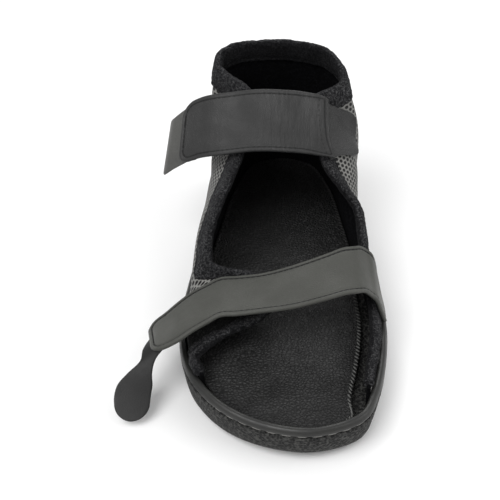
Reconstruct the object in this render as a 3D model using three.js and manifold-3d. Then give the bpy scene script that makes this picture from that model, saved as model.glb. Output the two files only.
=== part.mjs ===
// A post-operative shoe for the right foot: open toe, closed heel, ankle-high quarters and two straps.
// Millimetres, +Z up. The origin is on the floor under the middle of the heel, the toe points along -Y,
// and the medial side, where the straps are anchored, is +X.
import * as THREE from "three";
import { mergeVertices } from "three/addons/utils/BufferGeometryUtils.js";
import Module from "manifold-3d";

const wasm = await Module();
wasm.setup();

// Driving dimensions of the sole
const soleLength = 274; // heel to toe at the rim, the widest level
const ballWidth = 124; // across the ball at the rim
const heelWidth = 80; // across the heel at the rim
const heelRim = 36; // floor to the top of the cup's rim at the heel
const toeRim = 27; // the same from the ball to the toe
const toeSpring = 7.5; // how far the tread lifts off the floor at the toe tip
const heelBevel = 4; // how far the tread lifts at the back of the heel
const rimWall = 4.5; // the cup's wall, from the outside to the recess
const rimDepth = 7; // how far the rim stands above the insole
const lipHeight = 4.4; // the smooth lip above the stitched groove
const lipSlope = 2; // how far the lip leans in at its top
const grooveDepth = 0.9; // the stitched groove under the lip
const treadDepth = 2; // the cross grooves in the tread
const treadGroove = 3.5; // the width of one groove
const treadPitch = 14; // from one groove to the next

// Driving dimensions of what is inside and above it
const insoleThickness = 6;
const collarHeight = 131; // floor to the edge of the quarters at the back
const upperWall = 2.4; // the spacer mesh with its lining
const bindingWidth = 12; // the fleece band along the edge, seen from one side
const bindingSkin = 1.3; // the fleece on each face of the wall
const counterSkin = 1; // the leatherette panel at the back of the heel
const counterWidth = 46; // across the panel at half its height
const tabSkin = 1.4; // the textured tabs that hold the straps
const frontStrapWidth = 37; // the strap over the forefoot
const ankleStrapWidth = 40; // the strap over the instep
const strapThickness = 2.2;
const tailThickness = 1.4; // the pull tab at the end of a strap
const tailWidth = 19; // the drop of the front one at its widest
const patchThickness = 1.2; // the loop layer under a strap
const patchMargin = 2.5; // from its edge to the strap's edge
const gap = 0.3; // between two pieces that touch

// How finely the forms are divided
const outlineSteps = 72;
const columnStep = 13; // the largest step of the quarters along the feather line or the edge
const columnTurn = 12; // and the most degrees a rib turns in one step
const profileSteps = 5; // from the rim to the binding
const strapSteps = 2; // between two rows of a strap's table
const strapLanes = 4; // across a strap

// The heel's middle, as a share of the length from the back, is the origin.
const heelCentre = 0.15;
const half = 0.5;

const mix = THREE.MathUtils.lerp;
const clamp = THREE.MathUtils.clamp;
const radians = THREE.MathUtils.degToRad;
const up = new THREE.Vector3(0, 0, 1);

// The y of a place given as a share of the length from the back of the heel, and the other way round
const yOf = (along) => (heelCentre - along) * soleLength;
const alongOf = (y) => heelCentre - y / soleLength;

// A smooth value of one named column of a table, with no swing past its rows
function between(rows, place, column, at) {
  const last = rows.length - 1;
  const x = clamp(at, rows[0][place], rows[last][place]);
  let i = 0;
  while (i < last - 1 && x > rows[i + 1][place]) i += 1;
  const slope = (k) => {
    if (k < 0 || k >= last) return 0;
    return (rows[k + 1][column] - rows[k][column]) / (rows[k + 1][place] - rows[k][place]);
  };
  const turn = (k) => {
    const before = slope(k - 1);
    const after = slope(k);
    return before * after > 0 ? (2 * before * after) / (before + after) : 0;
  };
  const step = rows[i + 1][place] - rows[i][place];
  const t = (x - rows[i][place]) / step;
  const t2 = t * t;
  const t3 = t2 * t;
  return (
    (2 * t3 - 3 * t2 + 1) * rows[i][column] +
    (t3 - 2 * t2 + t) * step * turn(i) +
    (3 * t2 - 2 * t3) * rows[i + 1][column] +
    (t3 - t2) * step * turn(i + 1)
  );
}

// A closed geometry as a solid that can be joined and cut, and back
function solidOf(geometry) {
  const bare = geometry.index ? geometry.toNonIndexed() : geometry.clone();
  bare.deleteAttribute("normal");
  bare.deleteAttribute("uv");
  const merged = mergeVertices(bare, 1e-4);
  const solid = new wasm.Manifold(
    new wasm.Mesh({
      numProp: 3,
      vertProperties: merged.attributes.position.array,
      triVerts: new Uint32Array(merged.index.array),
    }),
  );
  return solid;
}

function geometryOf(solid) {
  const mesh = solid.getMesh();
  const geometry = new THREE.BufferGeometry();
  geometry.setAttribute("position", new THREE.BufferAttribute(mesh.vertProperties, 3));
  geometry.setIndex(new THREE.BufferAttribute(mesh.triVerts, 1));
  geometry.computeVertexNormals();
  return geometry;
}

// A closed skin through rings of points that all have the same count, with a fan over each end
function ringLoft(rings) {
  const count = rings[0].length;
  const points = rings.flat();
  const faces = [];
  for (let r = 0; r < rings.length - 1; r += 1)
    for (let i = 0; i < count; i += 1) {
      const a = r * count + i;
      const b = r * count + ((i + 1) % count);
      faces.push(a, b, b + count, a, b + count, a + count);
    }
  const fan = (first, flip) => {
    const middle = new THREE.Vector3();
    for (let i = 0; i < count; i += 1) middle.addScaledVector(points[first + i], 1 / count);
    points.push(middle);
    for (let i = 0; i < count; i += 1) {
      const next = first + ((i + 1) % count);
      faces.push(points.length - 1, flip ? next : first + i, flip ? first + i : next);
    }
  };
  fan(0, true);
  fan((rings.length - 1) * count, false);
  return indexed(points, faces);
}

function indexed(points, faces) {
  const geometry = new THREE.BufferGeometry().setFromPoints(points);
  geometry.setIndex(faces);
  geometry.computeVertexNormals();
  return geometry;
}

// A plan outline, or an outline seen from the side, extruded into a block
function planBlock(points, low, high) {
  const shape = new THREE.Shape(points.map((p) => new THREE.Vector2(p.x, p.y)));
  const block = new THREE.ExtrudeGeometry(shape, { depth: high - low, bevelEnabled: false });
  return solidOf(block.translate(0, 0, low));
}

function sideBlock(points, width) {
  const shape = new THREE.Shape(points);
  const block = new THREE.ExtrudeGeometry(shape, { depth: width, bevelEnabled: false });
  // the shape's x and y become the part's y and z, and its depth becomes x
  const turn = new THREE.Matrix4().makeBasis(new THREE.Vector3(0, 1, 0), up, new THREE.Vector3(1, 0, 0));
  return solidOf(block.applyMatrix4(turn).translate(-width * half, 0, 0));
}

// The rim's outline, clockwise from above, from the back of the heel along the medial side: each row's place is
// a share of the length, and how far it lies to the medial side is a share of half the width named in it.
const outlineRows = [
  { spot: "heel back", along: 0, across: -0.03, of: heelWidth },
  { spot: "heel medial corner", along: 0.042, across: 0.66, of: heelWidth },
  { spot: "heel medial", along: 0.15, across: 1, of: heelWidth },
  { spot: "arch", along: 0.34, across: 0.8, of: ballWidth },
  { spot: "waist medial", along: 0.5, across: 0.91, of: ballWidth },
  { spot: "ball medial", along: 0.66, across: 1, of: ballWidth },
  { spot: "big toe side", along: 0.785, across: 0.965, of: ballWidth },
  { spot: "big toe corner", along: 0.895, across: 0.855, of: ballWidth },
  { spot: "big toe front", along: 0.96, across: 0.71, of: ballWidth },
  { spot: "toe tip", along: 1, across: 0.28, of: ballWidth },
  { spot: "second toe", along: 0.985, across: -0.17, of: ballWidth },
  { spot: "middle toes", along: 0.938, across: -0.54, of: ballWidth },
  { spot: "little toe corner", along: 0.866, across: -0.81, of: ballWidth },
  { spot: "little toe side", along: 0.795, across: -0.94, of: ballWidth },
  { spot: "ball lateral", along: 0.68, across: -1, of: ballWidth },
  { spot: "waist lateral", along: 0.5, across: -0.93, of: ballWidth },
  { spot: "instep lateral", along: 0.32, across: -0.81, of: ballWidth },
  { spot: "heel lateral", along: 0.15, across: -1.02, of: heelWidth },
  { spot: "heel lateral corner", along: 0.042, across: -0.7, of: heelWidth },
];
const outline = new THREE.CatmullRomCurve3(
  outlineRows.map((row) => new THREE.Vector3(row.across * row.of * half, yOf(row.along), 0)),
  true,
  "centripetal",
);
outline.arcLengthDivisions = 800;

// The toe tip, as a share of the way round, parts the medial half from the lateral one.
const toeShare = (() => {
  const steps = 2000;
  let best = 0;
  for (let i = 0; i < steps; i += 1)
    if (outline.getPointAt(i / steps).y < outline.getPointAt(best / steps).y) best = i;
  return best / steps;
})();

// A point of the outline moved inwards. Round is 0 at the back of the heel, 1 at the toe tip along
// the medial side and -1 at the toe tip along the lateral side.
function feather(round, inset) {
  const share = round >= 0 ? round * toeShare : 1 + round * (1 - toeShare);
  const at = clamp(share, 0, 1);
  const point = outline.getPointAt(at);
  const run = outline.getTangentAt(at);
  const inwards = new THREE.Vector3(run.y, -run.x, 0).normalize();
  return { point: point.addScaledVector(inwards, inset), inwards };
}

const wholeOutline = (inset) =>
  Array.from({ length: outlineSteps }, (_, i) => {
    const share = i / outlineSteps;
    const round = share <= toeShare ? share / toeShare : (share - 1) / (1 - toeShare);
    const insetHere = typeof inset === "function" ? inset(round) : inset;
    return feather(round, insetHere).point;
  });

// The sole seen from the side: the tread's line and the rim's line, by share of the length
const springStart = 0.66;
const bevelEnd = 0.09;
function floorLine(along) {
  const toe = clamp((along - springStart) / (1 - springStart), 0, 1);
  const heel = clamp((bevelEnd - along) / bevelEnd, 0, 1);
  return toeSpring * toe * toe + heelBevel * heel * heel;
}
const rampStart = 0.2;
const rampEnd = 0.7;
function rimLine(along) {
  const drop = THREE.MathUtils.smoothstep(along, rampStart, rampEnd);
  return mix(heelRim, toeRim, drop);
}
const seatLine = (along) => rimLine(along) - rimDepth - insoleThickness;

// The block of everything over or under a line seen from the side
function lineBlock(line, offset, far) {
  const steps = 40;
  const reach = 0.06; // past the heel and the toe
  const points = [];
  for (let i = 0; i <= steps; i += 1) {
    const along = mix(-reach, 1 + reach, i / steps);
    points.push(new THREE.Vector2(yOf(along), line(along) + offset));
  }
  points.push(new THREE.Vector2(yOf(1 + reach), far), new THREE.Vector2(yOf(-reach), far));
  if (far > 0) points.reverse();
  return sideBlock(points, ballWidth + heelWidth);
}

// The cup sole's outer wall, from the floor up: how far each ring lies inside the outline, its height
// as a share of the wall, and how far under that it lies.
const wallRows = [
  { inset: 4, rise: 0, drop: 12 },
  { inset: 3.4, rise: 0, drop: 0 },
  { inset: 2.2, rise: 0.12, drop: 0 },
  { inset: 1, rise: 0.42, drop: 0 },
  { inset: 0.1, rise: 1, drop: lipHeight + 2.6 },
  { inset: 0.3, rise: 1, drop: lipHeight + 0.8 },
  { inset: 0.3 + grooveDepth, rise: 1, drop: lipHeight + 0.4 },
  { inset: 0.3 + grooveDepth, rise: 1, drop: lipHeight - 0.6 },
  { inset: 0, rise: 1, drop: lipHeight - 1 },
  { inset: 0.6, rise: 1, drop: lipHeight * half },
  { inset: lipSlope - 0.6, rise: 1, drop: 0.6 },
  { inset: lipSlope, rise: 1, drop: 0 },
  { inset: rimWall + 2, rise: 1, drop: 0 },
];

function soleUnit() {
  const rings = wallRows.map((row) =>
    wholeOutline(row.inset).map((p) => {
      const along = alongOf(p.y);
      const low = floorLine(along);
      p.z = mix(low, rimLine(along), row.rise) - row.drop;
      return p;
    }),
  );
  const body = solidOf(facingOut(ringLoft(rings)));
  const recess = planBlock(wholeOutline(rimWall), 0, heelRim * 2).intersect(
    lineBlock(seatLine, 0, heelRim * 2),
  );
  return body
    .subtract(lineBlock(floorLine, 0, -heelRim))
    .subtract(recess)
    .subtract(treadGrooves());
}

// Straight grooves across the tread, kept inside a plain border
function treadGrooves() {
  const border = 9;
  const zones = [
    { from: 0.05, to: 0.28 },
    { from: 0.5, to: 0.93 },
  ];
  const bars = [];
  for (const zone of zones) {
    const count = Math.max(1, Math.floor(((zone.to - zone.from) * soleLength) / treadPitch));
    for (let i = 0; i <= count; i += 1) {
      const bar = new THREE.BoxGeometry(ballWidth * 2, treadGroove, heelRim);
      const y = yOf(mix(zone.from, zone.to, i / count));
      bars.push(solidOf(bar.translate(0, y, -heelRim * half)));
    }
  }
  const comb = bars.reduce((all, bar) => all.add(bar));
  const raised = comb.translate(0, 0, heelRim * half);
  const under = lineBlock(floorLine, treadDepth, -heelRim);
  return raised.intersect(planBlock(wholeOutline(border), -heelRim, heelRim)).intersect(under);
}

// The quarters, from the lateral toe round the heel to the medial toe. Round is where a rib stands on
// the feather line. Along, across and rise place its end on the edge, as shares of the length, of half
// the ball width and of the collar's height. Swell is how far the rib leans out as it leaves the rim,
// and roll how far it has turned inwards at the edge, both in degrees.
const quarterRows = [
  { round: -0.775, along: 0.850, across: -0.75, rise: 0.234, swell: 0, roll: 0 },
  { round: -0.745, along: 0.818, across: -0.81, rise: 0.243, swell: 0, roll: 6 },
  { round: -0.722, along: 0.800, across: -0.74, rise: 0.262, swell: 1, roll: 30 },
  { round: -0.7, along: 0.770, across: -0.55, rise: 0.290, swell: 6, roll: 60 },
  { round: -0.68, along: 0.734, across: -0.23, rise: 0.317, swell: 10, roll: 74 },
  { round: -0.658, along: 0.682, across: -0.06, rise: 0.332, swell: 12, roll: 80 },
  { round: -0.635, along: 0.631, across: -0.15, rise: 0.332, swell: 14, roll: 76 },
  { round: -0.605, along: 0.599, across: -0.35, rise: 0.336, swell: 18, roll: 66 },
  { round: -0.575, along: 0.595, across: -0.60, rise: 0.351, swell: 22, roll: 50 },
  { round: -0.548, along: 0.586, across: -0.73, rise: 0.382, swell: 26, roll: 34 },
  { round: -0.52, along: 0.558, across: -0.73, rise: 0.435, swell: 28, roll: 30 },
  { round: -0.48, along: 0.522, across: -0.70, rise: 0.496, swell: 30, roll: 34 },
  { round: -0.43, along: 0.456, across: -0.60, rise: 0.573, swell: 32, roll: 38 },
  { round: -0.38, along: 0.369, across: -0.49, rise: 0.611, swell: 34, roll: 42 },
  { round: -0.33, along: 0.305, across: -0.37, rise: 0.710, swell: 35, roll: 42 },
  { round: -0.292, along: 0.265, across: -0.27, rise: 0.805, swell: 35, roll: 38 },
  { round: -0.262, along: 0.232, across: -0.40, rise: 0.893, swell: 34, roll: 26 },
  { round: -0.232, along: 0.199, across: -0.56, rise: 0.912, swell: 30, roll: 18 },
  { round: -0.2, along: 0.166, across: -0.69, rise: 0.935, swell: 24, roll: 14 },
  { round: -0.15, along: 0.131, across: -0.68, rise: 0.958, swell: 16, roll: 12 },
  { round: -0.1, along: 0.102, across: -0.48, rise: 0.989, swell: 10, roll: 13 },
  { round: -0.05, along: 0.097, across: -0.25, rise: 0.997, swell: 7, roll: 14 },
  { round: 0, along: 0.097, across: -0.03, rise: 1.000, swell: 6, roll: 14 },
  { round: 0.05, along: 0.107, across: 0.19, rise: 0.997, swell: 7, roll: 14 },
  { round: 0.1, along: 0.121, across: 0.40, rise: 0.989, swell: 10, roll: 14 },
  { round: 0.15, along: 0.147, across: 0.54, rise: 0.962, swell: 16, roll: 16 },
  { round: 0.2, along: 0.186, across: 0.62, rise: 0.931, swell: 26, roll: 20 },
  { round: 0.235, along: 0.214, across: 0.63, rise: 0.906, swell: 34, roll: 24 },
  { round: 0.265, along: 0.235, across: 0.54, rise: 0.885, swell: 38, roll: 32 },
  { round: 0.3, along: 0.268, across: 0.33, rise: 0.866, swell: 40, roll: 40 },
  { round: 0.34, along: 0.316, across: 0.35, rise: 0.748, swell: 40, roll: 44 },
  { round: 0.38, along: 0.356, across: 0.44, rise: 0.615, swell: 38, roll: 44 },
  { round: 0.42, along: 0.407, across: 0.63, rise: 0.531, swell: 34, roll: 36 },
  { round: 0.45, along: 0.431, across: 0.76, rise: 0.462, swell: 28, roll: 22 },
  { round: 0.49, along: 0.480, across: 0.80, rise: 0.397, swell: 16, roll: 10 },
  { round: 0.54, along: 0.542, across: 0.82, rise: 0.340, swell: 8, roll: 4 },
  { round: 0.6, along: 0.615, across: 0.85, rise: 0.298, swell: 6, roll: 2 },
  { round: 0.65, along: 0.677, across: 0.86, rise: 0.279, swell: 4, roll: 2 },
  { round: 0.7, along: 0.735, across: 0.86, rise: 0.260, swell: 3, roll: 4 },
  { round: 0.76, along: 0.801, across: 0.82, rise: 0.244, swell: 0, roll: 4 },
  { round: 0.81, along: 0.858, across: 0.78, rise: 0.229, swell: 0, roll: 2 },
  { round: 0.835, along: 0.880, across: 0.76, rise: 0.229, swell: 0, roll: 0 },
];
const columns = (() => {
  const found = [quarterRows[0].round];
  const edge = (row) =>
    new THREE.Vector3(row.across * ballWidth * half, yOf(row.along), row.rise * collarHeight);
  for (let i = 0; i < quarterRows.length - 1; i += 1) {
    const a = quarterRows[i];
    const b = quarterRows[i + 1];
    const foot = feather(a.round, 0).point.distanceTo(feather(b.round, 0).point);
    const reach = Math.max(edge(a).distanceTo(edge(b)), foot);
    const turned = Math.abs(a.roll - b.roll) + Math.abs(a.swell - b.swell);
    const steps = Math.ceil(Math.max(reach / columnStep, turned / columnTurn));
    for (let k = 1; k <= steps; k += 1) found.push(mix(a.round, b.round, k / steps));
  }
  return found;
})();
const wallInset = rimWall + gap * 1.6 + upperWall * half;
const clearOfRim = 0.8;

// The rib at one place round the feather line, as its foot, the point over the rim, and a curve on
function rib(round) {
  const value = (column) => between(quarterRows, "round", column, round);
  const { point: foot, inwards } = feather(round, wallInset);
  const along = alongOf(foot.y);
  foot.z = seatLine(along) + gap;
  const neck = foot.clone().setZ(rimLine(along) + clearOfRim);
  const edge = new THREE.Vector3(
    value("across") * ballWidth * half,
    yOf(value("along")),
    Math.max(value("rise") * collarHeight, neck.z + bindingSkin),
  );
  const reach = neck.distanceTo(edge) * 0.4;
  const swell = radians(value("swell"));
  const roll = radians(value("roll"));
  const leave = up.clone().multiplyScalar(Math.cos(swell)).addScaledVector(inwards, -Math.sin(swell));
  const arrive = up.clone().multiplyScalar(Math.cos(roll)).addScaledVector(inwards, Math.sin(roll));
  const curve = new THREE.CubicBezierCurve3(
    neck,
    neck.clone().addScaledVector(leave, reach),
    edge.clone().addScaledVector(arrive, -reach),
    edge,
  );
  return { foot, neck, curve, length: curve.getLength() };
}

// The binding reaches down to this height of a rib, and is divided here as the wall is.
const bandSteps = 2;
function bandHeights(round) {
  const { length } = rib(round);
  const low = 1 - clamp(length - clearOfRim, 0.6, bindingWidth) / length;
  return Array.from({ length: bandSteps + 1 }, (_, i) => mix(low, 1, i / bandSteps));
}

// The middle of the wall: height 0 is over the rim, 1 is the edge, and -1 is the foot on the seat.
function wallPoint(round, height) {
  const { foot, neck, curve } = rib(round);
  if (height < 0) return neck.clone().lerp(foot, -height);
  return curve.getPoint(Math.min(height, 1));
}

const edgeStep = 0.004;
function wallNormal(round, height) {
  const step = edgeStep;
  const lift = 0.02;
  const h = clamp(height, 0, 1);
  const across = wallPoint(round + step, h).sub(wallPoint(round - step, h));
  const rise = wallPoint(round, Math.min(h + lift, 1)).sub(wallPoint(round, Math.max(h - lift, 0)));
  return rise.cross(across).normalize();
}

function onWall(round, height, offset) {
  const outwards = height < 0 ? feather(round, 0).inwards.negate() : wallNormal(round, height);
  return wallPoint(round, height).addScaledVector(outwards, offset);
}

// A closed sheet between two grids of points of the same size, the first one outside
function sheet(outer, inner) {
  const rows = outer.length;
  const count = outer[0].length;
  const points = [...outer.flat(), ...inner.flat()];
  const back = rows * count;
  const faces = [];
  const quad = (a, b, c, d) => faces.push(a, b, c, a, c, d);
  for (let r = 0; r < rows - 1; r += 1)
    for (let i = 0; i < count - 1; i += 1) {
      const a = r * count + i;
      quad(a, a + 1, a + count + 1, a + count);
      quad(back + a, back + a + count, back + a + count + 1, back + a + 1);
    }
  for (let i = 0; i < count - 1; i += 1) {
    const top = (rows - 1) * count + i;
    quad(i, back + i, back + i + 1, i + 1);
    quad(top + 1, back + top + 1, back + top, top);
  }
  for (let r = 0; r < rows - 1; r += 1) {
    const a = r * count;
    const z = a + count - 1;
    quad(a + count, back + a + count, back + a, a);
    quad(z, back + z, back + z + count, z + count);
  }
  return facingOut(indexed(points, faces));
}

function facingOut(geometry) {
  const solid = solidOf(geometry);
  if (solid.volume() > 0) return geometry;
  const index = geometry.index.array;
  for (let i = 0; i < index.length; i += 3) [index[i + 1], index[i + 2]] = [index[i + 2], index[i + 1]];
  geometry.computeVertexNormals();
  return geometry;
}

function upper() {
  const heights = (round) => {
    const band = bandHeights(round);
    const found = [-1, -0.4];
    for (let k = 0; k < profileSteps; k += 1) found.push((band[0] * k) / profileSteps);
    return [...found, ...band];
  };
  const face = (offset) => columns.map((round) => heights(round).map((h) => onWall(round, h, offset)));
  return sheet(face(upperWall * half), face(-upperWall * half));
}

// The fleece binding, a U over the edge of the quarters. Its lower edge keeps clear of the rim.
function binding() {
  const near = upperWall * half + gap * 2.2;
  const far = near + bindingSkin;
  const section = (round) => {
    const normal = wallNormal(round, 1);
    const edge = wallPoint(round, 1);
    const run = wallPoint(round + edgeStep, 1).sub(wallPoint(round - edgeStep, 1)).normalize();
    const past = run.cross(normal).normalize();
    const over = (reach, offset) =>
      edge.clone().addScaledVector(past, reach).addScaledVector(normal, offset);
    const side = (offset) => bandHeights(round).map((height) => onWall(round, height, offset));
    const shoulder = gap + bindingSkin * 0.6;
    return {
      skin: [
        ...side(far),
        over(shoulder, far * 0.7),
        over(gap + bindingSkin, 0),
        over(shoulder, -far * 0.7),
        ...side(-far).reverse(),
      ],
      lining: [
        ...side(near),
        over(gap, near),
        over(gap, 0),
        over(gap, -near),
        ...side(-near).reverse(),
      ],
    };
  };
  const sections = columns.map(section);
  return sheet(
    sections.map((s) => s.skin),
    sections.map((s) => s.lining),
  );
}

// A patch laid on the outside of the quarters, from a grid of places round and up the wall
function patch(places, near, thickness) {
  const face = (offset) => places.map((lane) => lane.map((p) => onWall(p.round, p.height, offset)));
  return sheet(face(near + thickness), face(near));
}

// The heel counter: waisted, wider at the sole, and ending under the binding
function heelCounter() {
  const rows = [
    { height: 0, lateral: 0.68, medial: 0.56 },
    { height: 0.2, lateral: 0.53, medial: 0.5 },
    { height: 0.5, lateral: 0.46, medial: 0.5 },
    { height: 0.8, lateral: 0.49, medial: 0.56 },
    { height: 1, lateral: 0.52, medial: 0.62 },
  ];
  const halfRound = outline.getLength() * half;
  const top = 1 - (bindingWidth + gap) / rib(0).length;
  const lanes = 10;
  const steps = 8;
  const places = [];
  for (let k = 0; k <= lanes; k += 1) {
    const lane = [];
    for (let i = 0; i <= steps; i += 1) {
      const share = i / steps;
      const lateral = (-between(rows, "height", "lateral", share) * counterWidth) / halfRound;
      const medial = (between(rows, "height", "medial", share) * counterWidth) / halfRound;
      lane.push({ round: mix(lateral, medial, k / lanes), height: mix(0.01, top, share) });
    }
    places.push(lane);
  }
  return patch(places, upperWall * half + gap, counterSkin);
}

// The textured tab on the medial quarter that holds the ankle strap: from the throat's edge, where it is
// wide, down and back to two rounded corners. Each row names a corner by its place on the wall.
const tabCorners = {
  edgeTop: { round: 0.3, height: 0.985 },
  edgeLow: { round: 0.378, height: 0.985 },
  endTop: { round: 0.258, height: 0.74 },
  endLow: { round: 0.31, height: 0.43 },
};
const onBinding = upperWall * half + gap * 1.5 + bindingSkin + gap * 2;
function ankleTab() {
  const { edgeTop, edgeLow, endTop, endLow } = tabCorners;
  const lanes = 8;
  const steps = 5;
  const rounding = 0.3;
  const places = [];
  for (let k = 0; k <= lanes; k += 1) {
    const down = k / lanes;
    const side = 2 * down - 1;
    const reach = 1 - rounding * (1 - Math.sqrt(Math.max(0, 1 - side ** 4)));
    const lane = [];
    for (let i = 0; i <= steps; i += 1) {
      const out = (i / steps) * reach;
      const at = (column) =>
        mix(mix(edgeTop[column], edgeLow[column], down), mix(endTop[column], endLow[column], down), out);
      lane.push({ round: at("round"), height: at("height") });
    }
    places.push(lane);
  }
  return patch(places, onBinding, tabSkin);
}

// A strap is a sheet through rows. A row on the wall gives the places of its heel side and its toe side
// there, and a row in the air gives its middle, as shares of half the ball width, the length and the
// collar's height, and the way across it: swing turns it about the vertical from straight ahead, and
// slope tips its toe side down. Wide is its width as a share of the strap's.
function strapLanesOf(row, width) {
  const lanes = [];
  for (let j = 0; j <= strapLanes; j += 1) {
    const share = j / strapLanes - half;
    const reach = share * width * (row.wide ?? 1);
    if (row.heel) {
      const at = (column) => mix(row.heel[column], row.toe[column], j / strapLanes);
      lanes.push(onWall(at("round"), at("height"), row.off));
      continue;
    }
    const swing = radians(row.swing);
    const slope = radians(row.slope);
    const across = new THREE.Vector3(
      Math.sin(swing) * Math.cos(slope),
      -Math.cos(swing) * Math.cos(slope),
      -Math.sin(slope),
    );
    const middle = new THREE.Vector3(
      row.across * ballWidth * half,
      yOf(row.along),
      row.rise * collarHeight,
    );
    lanes.push(middle.addScaledVector(across, reach));
  }
  return lanes;
}

// The strap's middle surface as stations of lanes, smooth from row to row
function strapGrid(rows, width, margin = 0) {
  const stations = rows.map((row) => strapLanesOf(row, width));
  const curves = [];
  for (let j = 0; j <= strapLanes; j += 1)
    curves.push(new THREE.CatmullRomCurve3(stations.map((s) => s[j]), false, "centripetal"));
  const count = (rows.length - 1) * strapSteps;
  const grid = [];
  for (let i = 0; i <= count; i += 1) {
    const lanes = curves.map((curve) => curve.getPoint(i / count));
    const middle = lanes[strapLanes * half];
    const whole = lanes[0].distanceTo(lanes[strapLanes]);
    const keep = Math.max(0.1, (whole - 2 * margin) / whole);
    grid.push(lanes.map((p) => middle.clone().lerp(p, keep)));
  }
  return grid;
}

function gridNormal(grid, i, j) {
  const ahead = grid[Math.min(i + 1, grid.length - 1)][j];
  const behind = grid[Math.max(i - 1, 0)][j];
  const lane = grid[i];
  const across = lane[Math.min(j + 1, lane.length - 1)].clone().sub(lane[Math.max(j - 1, 0)]);
  return ahead.clone().sub(behind).cross(across).normalize();
}

function strapSheet(grid, high, low) {
  const face = (offset) =>
    grid.map((lane, i) =>
      lane.map((p, j) => p.clone().addScaledVector(gridNormal(grid, i, j), offset)),
    );
  return sheet(face(high), face(low));
}

const onStraps = onBinding + strapThickness * half;
const onTab = onStraps + tabSkin + gap;
const ankleStrapRows = [
  { heel: { round: 0.297, height: 0.95 }, toe: { round: 0.374, height: 0.95 }, off: onTab },
  { heel: { round: 0.3, height: 1 }, toe: { round: 0.378, height: 1 }, off: onTab },
  { across: 0.21, along: 0.319, rise: 0.798, swing: 3, slope: 50 },
  { across: 0.03, along: 0.318, rise: 0.805, swing: 1, slope: 50 },
  { across: -0.15, along: 0.316, rise: 0.807, swing: 0, slope: 50 },
  { across: -0.33, along: 0.314, rise: 0.802, swing: -1, slope: 50 },
  { across: -0.55, along: 0.312, rise: 0.786, swing: -3, slope: 50 },
  { across: -0.74, along: 0.303, rise: 0.763, swing: -4, slope: 51 },
  { across: -0.86, along: 0.292, rise: 0.737, swing: -6, slope: 52 },
  { across: -0.99, along: 0.285, rise: 0.702, swing: -8, slope: 52 },
  { across: -1.05, along: 0.284, rise: 0.687, swing: -9, slope: 52, wide: 0.86 },
  { across: -1.07, along: 0.283, rise: 0.678, swing: -10, slope: 52, wide: 0.5 },
];
const frontStrapRows = [
  { heel: { round: 0.553, height: 0.08 }, toe: { round: 0.665, height: 0.08 }, off: onStraps },
  { heel: { round: 0.554, height: 0.6 }, toe: { round: 0.666, height: 0.6 }, off: onStraps },
  { heel: { round: 0.555, height: 1 }, toe: { round: 0.667, height: 1 }, off: onStraps },
  { across: 0.87, along: 0.631, rise: 0.37, swing: 3, slope: 13 },
  { across: 0.82, along: 0.632, rise: 0.396, swing: 3, slope: 12 },
  { across: 0.75, along: 0.642, rise: 0.435, swing: 2, slope: 9 },
  { across: 0.68, along: 0.657, rise: 0.458, swing: 1, slope: 8 },
  { across: 0.57, along: 0.668, rise: 0.468, swing: 0, slope: 8 },
  { across: 0.42, along: 0.684, rise: 0.466, swing: -1, slope: 6 },
  { across: 0.24, along: 0.697, rise: 0.454, swing: 0, slope: 3 },
  { across: 0.06, along: 0.708, rise: 0.443, swing: 1, slope: 0 },
  { across: -0.18, along: 0.715, rise: 0.427, swing: 1, slope: -4 },
  { across: -0.42, along: 0.715, rise: 0.410, swing: 2, slope: -4 },
  { across: -0.58, along: 0.712, rise: 0.397, swing: 3, slope: -4 },
  { across: -0.69, along: 0.723, rise: 0.382, swing: 4, slope: -4 },
  { across: -0.83, along: 0.737, rise: 0.359, swing: 5, slope: -4 },
  { across: -0.96, along: 0.752, rise: 0.328, swing: 6, slope: -6 },
  { across: -1.06, along: 0.759, rise: 0.296, swing: 10, slope: -12 },
  { across: -1.16, along: 0.763, rise: 0.266, swing: 12, slope: -16, wide: 1 },
  { across: -1.21, along: 0.765, rise: 0.250, swing: 12, slope: -18, wide: 0.84 },
  { across: -1.24, along: 0.765, rise: 0.243, swing: 12, slope: -18, wide: 0.5 },
];

// The tail of each strap comes out from under its stitched end and narrows to a drop-shaped pull tab.
const ankleTailRows = [
  { across: -0.81, along: 0.285, rise: 0.731, swing: -5, slope: 51, wide: 0.7 },
  { across: -0.87, along: 0.283, rise: 0.718, swing: -6, slope: 52, wide: 0.92 },
  { across: -1.00, along: 0.278, rise: 0.682, swing: -9, slope: 52, wide: 1 },
  { across: -1.12, along: 0.275, rise: 0.641, swing: -12, slope: 52, wide: 1 },
  { across: -1.20, along: 0.272, rise: 0.608, swing: -14, slope: 52, wide: 1 },
  { across: -1.24, along: 0.257, rise: 0.577, swing: -14, slope: 52, wide: 0.96 },
  { across: -1.23, along: 0.234, rise: 0.542, swing: -12, slope: 50, wide: 0.6 },
  { across: -1.17, along: 0.208, rise: 0.511, swing: -10, slope: 48, wide: 0.34 },
  { across: -1.10, along: 0.182, rise: 0.481, swing: -10, slope: 46, wide: 0.36 },
  { across: -1.02, along: 0.157, rise: 0.450, swing: -10, slope: 44, wide: 0.5 },
  { across: -0.96, along: 0.131, rise: 0.424, swing: -10, slope: 42, wide: 0.46 },
  { across: -0.93, along: 0.117, rise: 0.408, swing: -10, slope: 42, wide: 0.2 },
];
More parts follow.
